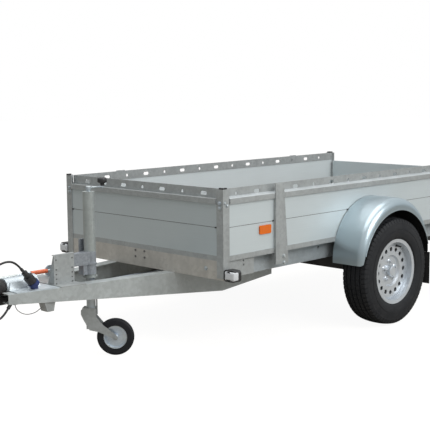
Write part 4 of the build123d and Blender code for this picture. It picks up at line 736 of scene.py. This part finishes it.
# ---------------------------------------------------------------- rails' sloped ledges and closed ends
LEDGE_LOW_Z = 0.848
LEDGE_HIGH_Z = 0.858
SIDE_LEDGE = (0.6633, 0.6285)  # outer and inner edge
FRONT_LIP_X = 0.6068
LIP_BOTTOM_Z = 0.820
RAIL_FRONT_X = 0.553
RAIL_REAR_X = -1.929
RAIL_END_Y = 0.6095
END_PLATE = 0.0022
LIP_SHEET = 0.009  # how deep the end plates reach in from the lip
SHEET_BEVEL = 0.0005
made = bmesh.new()
for out in (1, -1):
    outer, inner = SIDE_LEDGE
    outline = [(RAIL_REAR_X, out * outer, LEDGE_LOW_Z), (RAIL_REAR_X, out * inner, LEDGE_LOW_Z)]
    outline.append((RAIL_REAR_X, out * inner, LEDGE_HIGH_Z))
    prism(made, outline, (RAIL_FRONT_X - RAIL_REAR_X, 0, 0))
    for x in (RAIL_REAR_X, RAIL_FRONT_X - END_PLATE):
        corners = [(x, out * (outer - LIP_SHEET), LIP_BOTTOM_Z), (x + END_PLATE, out * outer, LEDGE_LOW_Z)]
        rounded_block(made, map(min, *corners), map(max, *corners), SHEET_BEVEL)
for y in (-RAIL_END_Y, RAIL_END_Y - END_PLATE):
    low = (FRONT_LIP_X - LIP_SHEET, y, LIP_BOTTOM_Z)
    rounded_block(made, low, (FRONT_LIP_X, y + END_PLATE, LEDGE_LOW_Z), SHEET_BEVEL)
piece_from(made, "rail_ledges", ledge_zinc, "chassis", 20)

# ---------------------------------------------------------------- front lamps' lenses
LENS_FRONT_X = 0.6065
LENS_REAR_X = 0.566
LENS_IN_Y = 0.668
LENS_OUT_Y = 0.7368
LENS_LOW_Z = 0.427
LENS_HIGH_Z = 0.474
LENS_BEVEL = 0.010
for side, out in (("left", 1), ("right", -1)):
    made = bmesh.new()
    corners = [(LENS_REAR_X, out * LENS_IN_Y, LENS_LOW_Z), (LENS_FRONT_X, out * LENS_OUT_Y, LENS_HIGH_Z)]
    rounded_block(made, map(min, *corners), map(max, *corners), LENS_BEVEL)
    piece_from(made, "front_lens_" + side, clear_lens, "chassis")

# ---------------------------------------------------------------- crank of the jockey wheel
UP = (0, 0, 1)
JOCKEY_X = 1.012
JOCKEY_Y = 0.070
CRANK_FOOT_Z = 0.884
CRANK_Z = 0.902
CRANK_END_X = 0.9123
CRANK_END_Y = 0.0625
CRANK_BAR = 0.0055
CRANK_EYE = [(0, 0), (0.0095, 0), (0.0095, 0.013), (0, 0.013)]
CRANK_EYE_BELOW = 0.006
COLLAR = [(0, 0), (0.011, 0), (0.011, 0.010), (0.0145, 0.011), (0.0145, 0.025), (0.012, 0.027), (0, 0.027)]
KNOB_Z = 0.905
KNOB = [(0, 0), (0.0105, 0), (0.0105, 0.010), (0.0125, 0.014), (0.019, 0.0165), (0.0235, 0.019)]
KNOB += [(0.0255, 0.023), (0.0255, 0.036), (0.0235, 0.0415), (0.017, 0.045), (0.008, 0.046), (0, 0.046)]
made = bmesh.new()
lathe(made, (JOCKEY_X, JOCKEY_Y, CRANK_FOOT_Z), UP, COLLAR)
tube(made, [(JOCKEY_X, JOCKEY_Y, CRANK_Z), (CRANK_END_X, CRANK_END_Y, CRANK_Z)], CRANK_BAR)
lathe(made, (CRANK_END_X, CRANK_END_Y, CRANK_Z - CRANK_EYE_BELOW), UP, CRANK_EYE)
crank_arm = piece_from(made, "crank_arm", dull_metal, "chassis")
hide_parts("jockey_crank")
made = bmesh.new()
lathe(made, (CRANK_END_X, CRANK_END_Y, KNOB_Z), UP, KNOB)
piece_from(made, "crank_knob", black_plastic, "chassis")

# ---------------------------------------------------------------- sleeve on the hand brake's bar
AHEAD = (1, 0, 0)
SLEEVE_FOOT = (1.158, -0.116, 0.456)
SLEEVE = [(0, 0), (0.0082, 0), (0.0115, 0.001), (0.0115, 0.104), (0.0082, 0.105), (0, 0.105)]
made = bmesh.new()
lathe(made, SLEEVE_FOOT, AHEAD, SLEEVE, 24)
piece_from(made, "brake_sleeve", red_plastic, "chassis")

# ---------------------------------------------------------------- fenders' rolled lips
FENDER_X = -0.677
LIP_Z = 0.352
LIP_RADIUS = 0.3385
LIP_BEAD = 0.0032
LIP_SINK = 0.8  # how far in from the fender's outer face the bead's middle lies, in its radii
LIP_FIRST_DEGREE = 17
LIP_DEGREES = 146
LIP_STEPS = 72
for side, out in (("left", 1), ("right", -1)):
    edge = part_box("fender_" + side)[1 if out > 0 else 0].y - out * LIP_BEAD * LIP_SINK
    made = bmesh.new()
    points = []
    for step in range(LIP_STEPS + 1):
        angle = math.radians(LIP_FIRST_DEGREE + step * LIP_DEGREES / LIP_STEPS)
        points.append((FENDER_X + LIP_RADIUS * math.cos(angle), edge, LIP_Z + LIP_RADIUS * math.sin(angle)))
    tube(made, points, LIP_BEAD, 10)
    piece_from(made, "fender_lip_" + side, NODE_FINISH["fender_" + side], "chassis")

# ---------------------------------------------------------------- black sheets behind the wheels: painted shade on the side walls inside the fender arches
SHADE_SHEET_STEPS = 48
SHADE_SHEET_RADIUS = 0.352
SHADE_SHEET_LOW_Z = 0.400
SHADE_SHEET_CENTRE_Z = 0.408
SHADE_SHEET_FACE_Y = 0.6578
SHADE_SHEET_THICK = 0.0012
for side, out in (("left", 1), ("right", -1)):
    made = bmesh.new()
    outline = [(FENDER_X + SHADE_SHEET_RADIUS, out * SHADE_SHEET_FACE_Y, SHADE_SHEET_LOW_Z)]
    for step in range(SHADE_SHEET_STEPS + 1):
        angle = math.pi * step / SHADE_SHEET_STEPS
        height = max(SHADE_SHEET_CENTRE_Z + SHADE_SHEET_RADIUS * math.sin(angle), SHADE_SHEET_LOW_Z)
        outline.append((FENDER_X + SHADE_SHEET_RADIUS * math.cos(angle), out * SHADE_SHEET_FACE_Y, height))
    outline.append((FENDER_X - SHADE_SHEET_RADIUS, out * SHADE_SHEET_FACE_Y, SHADE_SHEET_LOW_Z))
    # Painted shade: a thin black sheet over the side wall where the fender and wheel shade it.
    prism(made, outline, (0, out * SHADE_SHEET_THICK, 0))
    piece_from(made, "arch_shade_sheet_" + side, black_rubber, "chassis")

# ---------------------------------------------------------------- bolts on the chassis
CONSOLE_SCREWS = (0.430, 0.453, 0.477, 0.502, 0.552)
CONSOLE_COLUMNS = (1.155, 1.257)
CONSOLE_FACE_Y = 0.1002
CONSOLE_SCREW_SIZE = 0.0042
BEAM_SCREWS = [(0.038, 0.473), (0.038, 0.509)]
BEAM_SCREW_SIZE = 0.0066
SIDE_BOLTS = [  # x, y, z and size
    (0.586, 0.6575, 0.826, 0.0065),
    (0.570, 0.6575, 0.812, 0.0075),
    (0.1303, 0.6695, 0.4945, 0.009),
    (0.1303, 0.6695, 0.4574, 0.009),
    (-1.506, 0.6695, 0.4945, 0.009),
    (-1.506, 0.6695, 0.4574, 0.009),
]
made = bmesh.new()
for x, y, z, size in SIDE_BOLTS:
    for out in (1, -1):
        hex_bolt(made, (x, out * y, z), (0, out, 0), size, True, 0.3)
piece_from(made, "side_bolts", dull_metal, "chassis")

BEAM_FACE_X = 0.5968
POST_FACE_X = 0.601
FRONT_BOLTS = [(BEAM_FACE_X, 0.525, 0.472), (POST_FACE_X, 0.632, 0.826), (POST_FACE_X, 0.632, 0.800)]
FRONT_BOLT_SIZE = 0.0085
made = bmesh.new()
for x, y, z in FRONT_BOLTS:
    for out in (1, -1):
        hex_bolt(made, (x, out * y, z), AHEAD, FRONT_BOLT_SIZE, True, 0.2)
piece_from(made, "front_bolts", dull_metal, "chassis")

# Dark screws in the console's holes and through the front beam.
made = bmesh.new()
for height in CONSOLE_SCREWS:
    for x in CONSOLE_COLUMNS:
        hex_bolt(made, (x, CONSOLE_FACE_Y, height), (0, 1, 0), CONSOLE_SCREW_SIZE, False, 0.4)
for y, z in BEAM_SCREWS:
    for out in (1, -1):
        hex_bolt(made, (BEAM_FACE_X, out * y, z), AHEAD, BEAM_SCREW_SIZE, False, 0.2)
piece_from(made, "dark_screws", cast_iron, "chassis")

PLUG_BEVEL = 0.001
PLUGS = [  # middle and reach from it
    ((0.2044, 0.6515, 0.697), (0.008, 0.004, 0.0035)),
    ((-0.4673, 0.6515, 0.697), (0.008, 0.004, 0.0035)),
    ((0.5985, 0.602, 0.697), (0.004, 0.006, 0.0035)),
]
made = bmesh.new()
for (x, y, z), reach in PLUGS:
    for out in (1, -1):
        middle = Vector((x, out * y, z))
        reach = Vector(reach)
        rounded_block(made, middle - reach, middle + reach, PLUG_BEVEL)
piece_from(made, "groove_plugs", black_plastic, "chassis")

# ---------------------------------------------------------------- dark strips in the grooves between the planks: painted shade
SEAM_Z = 0.697
SEAM_HALF = 0.00145
SEAM_DEPTH = 0.003
SEAM_BELOW = 0.0006
SIDE_FACE_Y = 0.6535
FRONT_FACE_X = 0.597
SEAM_SHORT = 0.001  # how far a seam stops short of its wall's ends
SEAM_BEVEL = 0.0002
SEAM_LOW_Z = SEAM_Z - SEAM_HALF
SEAM_HIGH_Z = SEAM_Z + SEAM_HALF
made = bmesh.new()
for side, out in (("left", 1), ("right", -1)):
    low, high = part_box("side_wall_" + side)
    outer = out * (SIDE_FACE_Y - SEAM_BELOW)
    inner = outer - out * SEAM_DEPTH
    start = (low.x + SEAM_SHORT, min(inner, outer), SEAM_LOW_Z)
    rounded_block(made, start, (high.x - SEAM_SHORT, max(inner, outer), SEAM_HIGH_Z), SEAM_BEVEL)
low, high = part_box("front_wall")
outer = FRONT_FACE_X - SEAM_BELOW
start = (outer - SEAM_DEPTH, low.y + SEAM_SHORT, SEAM_LOW_Z)
rounded_block(made, start, (outer, high.y - SEAM_SHORT, SEAM_HIGH_Z), SEAM_BEVEL)
# Painted shade: a dark grey strip fills each groove to stand for the shadow inside it.
piece_from(made, "plank_groove_shade", SLOT_FINISH["hub_steel"], "chassis")

# ---------------------------------------------------------------- jockey wheel's caps and rim rings
JOCKEY_HUB = Vector((0.92244, 0.16145, 0.1))
JOCKEY_AXIS = Vector((0.71447, 0.69966, 0))
JOCKEY_CAP = [(0, 0.022), (0.0145, 0.022), (0.0145, 0.025), (0.012, 0.027), (0.006, 0.028), (0, 0.028)]
JOCKEY_RING = [(0.0615, 0.0165), (0.0630, 0.0175), (0.0625, 0.0192), (0.0590, 0.0190), (0.0560, 0.0165)]
for part, out in (("near", 1), ("far", -1)):
    made = bmesh.new()
    lathe(made, JOCKEY_HUB, JOCKEY_AXIS * out, JOCKEY_CAP, 24)
    lathe(made, JOCKEY_HUB, JOCKEY_AXIS * out, JOCKEY_RING, 40)
    piece_from(made, "jockey_trim_" + part, dull_metal, "jockey_wheel")

# ---------------------------------------------------------------- stage and light
FLOOR_HALF = 30.0
FLOOR_TONE = (0.32, 0.30, 0.27)  # what the trailer reflects; the camera sees it nearly white
FLOOR_WHITE = 1.34  # strength of the white that only the camera sees
FLOOR_SHARE = 0.70  # how much of what the camera sees is that white
floor_mesh = bpy.data.meshes.new("floor")
floor_corners = [(x * FLOOR_HALF, y * FLOOR_HALF, 0) for x, y in ((-1, -1), (1, -1), (1, 1), (-1, 1))]
floor_mesh.from_pydata(floor_corners, [], [(0, 1, 2, 3)])
floor_finish = bpy.data.materials.new("pale_floor")
floor_finish.use_nodes = True
tree = floor_finish.node_tree
tree.nodes.clear()
seen = add_node(tree, "ShaderNodeLightPath").outputs["Is Camera Ray"]
matt = add_node(tree, "ShaderNodeBsdfDiffuse", {"Color": (*FLOOR_TONE, 1)})
white = add_node(tree, "ShaderNodeEmission", {"Color": (1, 1, 1, 1), "Strength": FLOOR_WHITE})
share = calculate(tree, "MULTIPLY", seen, FLOOR_SHARE)
blended = add_node(tree, "ShaderNodeMixShader", {"Fac": share})
tree.links.new(matt.outputs["BSDF"], blended.inputs[1])
tree.links.new(white.outputs["Emission"], blended.inputs[2])
output = add_node(tree, "ShaderNodeOutputMaterial")
tree.links.new(blended.outputs["Shader"], output.inputs["Surface"])
floor_mesh.materials.append(floor_finish)
floor = bpy.data.objects.new("floor", floor_mesh)
bpy.context.scene.collection.objects.link(floor)

SKY_STRENGTH = 1.15
SKY_BRIGHT_SIDE = (-0.66, 0.75, 0.0)  # behind and left of the trailer
world = bpy.data.worlds.new("studio")
world.use_nodes = True
bpy.context.scene.world = world
tree = world.node_tree
tree.nodes.clear()
direction = add_node(tree, "ShaderNodeTexCoord").outputs["Generated"]
height = add_node(tree, "ShaderNodeSeparateXYZ", {"Vector": direction}).outputs["Z"]
sky = ramp(tree, height, (0.0, (0.50, 0.53, 0.55)), (0.25, (0.80, 0.83, 0.85)), (1.0, (1.0, 1.0, 1.0)))
towards = add_node(tree, "ShaderNodeVectorMath", operation="DOT_PRODUCT")
tree.links.new(direction, towards.inputs[0])
towards.inputs[1].default_value = SKY_BRIGHT_SIDE
side_share = calculate(tree, "MULTIPLY_ADD", towards.outputs["Value"], 0.5)
side_share.node.inputs[2].default_value = 0.5
sides = ramp(tree, side_share, (0.0, 0.36), (0.5, 0.62), (1.0, 1.0))
high_up = ramp(tree, height, (0.10, 0.0), (0.45, 1.0))
sides = mix(tree, high_up, sides, (0.85, 0.85, 0.85))
sky = mix(tree, 1.0, sky, sides, "MULTIPLY")
soft = add_node(tree, "ShaderNodeBackground", {"Color": sky, "Strength": SKY_STRENGTH})
backdrop = add_node(tree, "ShaderNodeBackground", {"Color": (1, 1, 1, 1), "Strength": 1.0})
seen = add_node(tree, "ShaderNodeLightPath").outputs["Is Camera Ray"]
blended = add_node(tree, "ShaderNodeMixShader", {"Fac": seen})
tree.links.new(soft.outputs["Background"], blended.inputs[1])
tree.links.new(backdrop.outputs["Background"], blended.inputs[2])
output = add_node(tree, "ShaderNodeOutputWorld")
tree.links.new(blended.outputs["Shader"], output.inputs["Surface"])


def softbox(name, place, target, width, height, power):
    """A rectangular studio light aimed at a point."""
    light = bpy.data.lights.new(name, "AREA")
    light.shape = "RECTANGLE"
    light.size = width
    light.size_y = height
    light.energy = power
    lamp = bpy.data.objects.new(name, light)
    lamp.location = place
    lamp.rotation_euler = (Vector(target) - Vector(place)).to_track_quat("-Z", "Y").to_euler()
    bpy.context.scene.collection.objects.link(lamp)


softbox("key_left", (-0.5, 5.5, 4.2), (-0.4, 0, 0.4), 5.0, 3.0, 255)
softbox("top", (0.0, 0.0, 5.0), (0, 0, 0), 5.0, 4.0, 170)
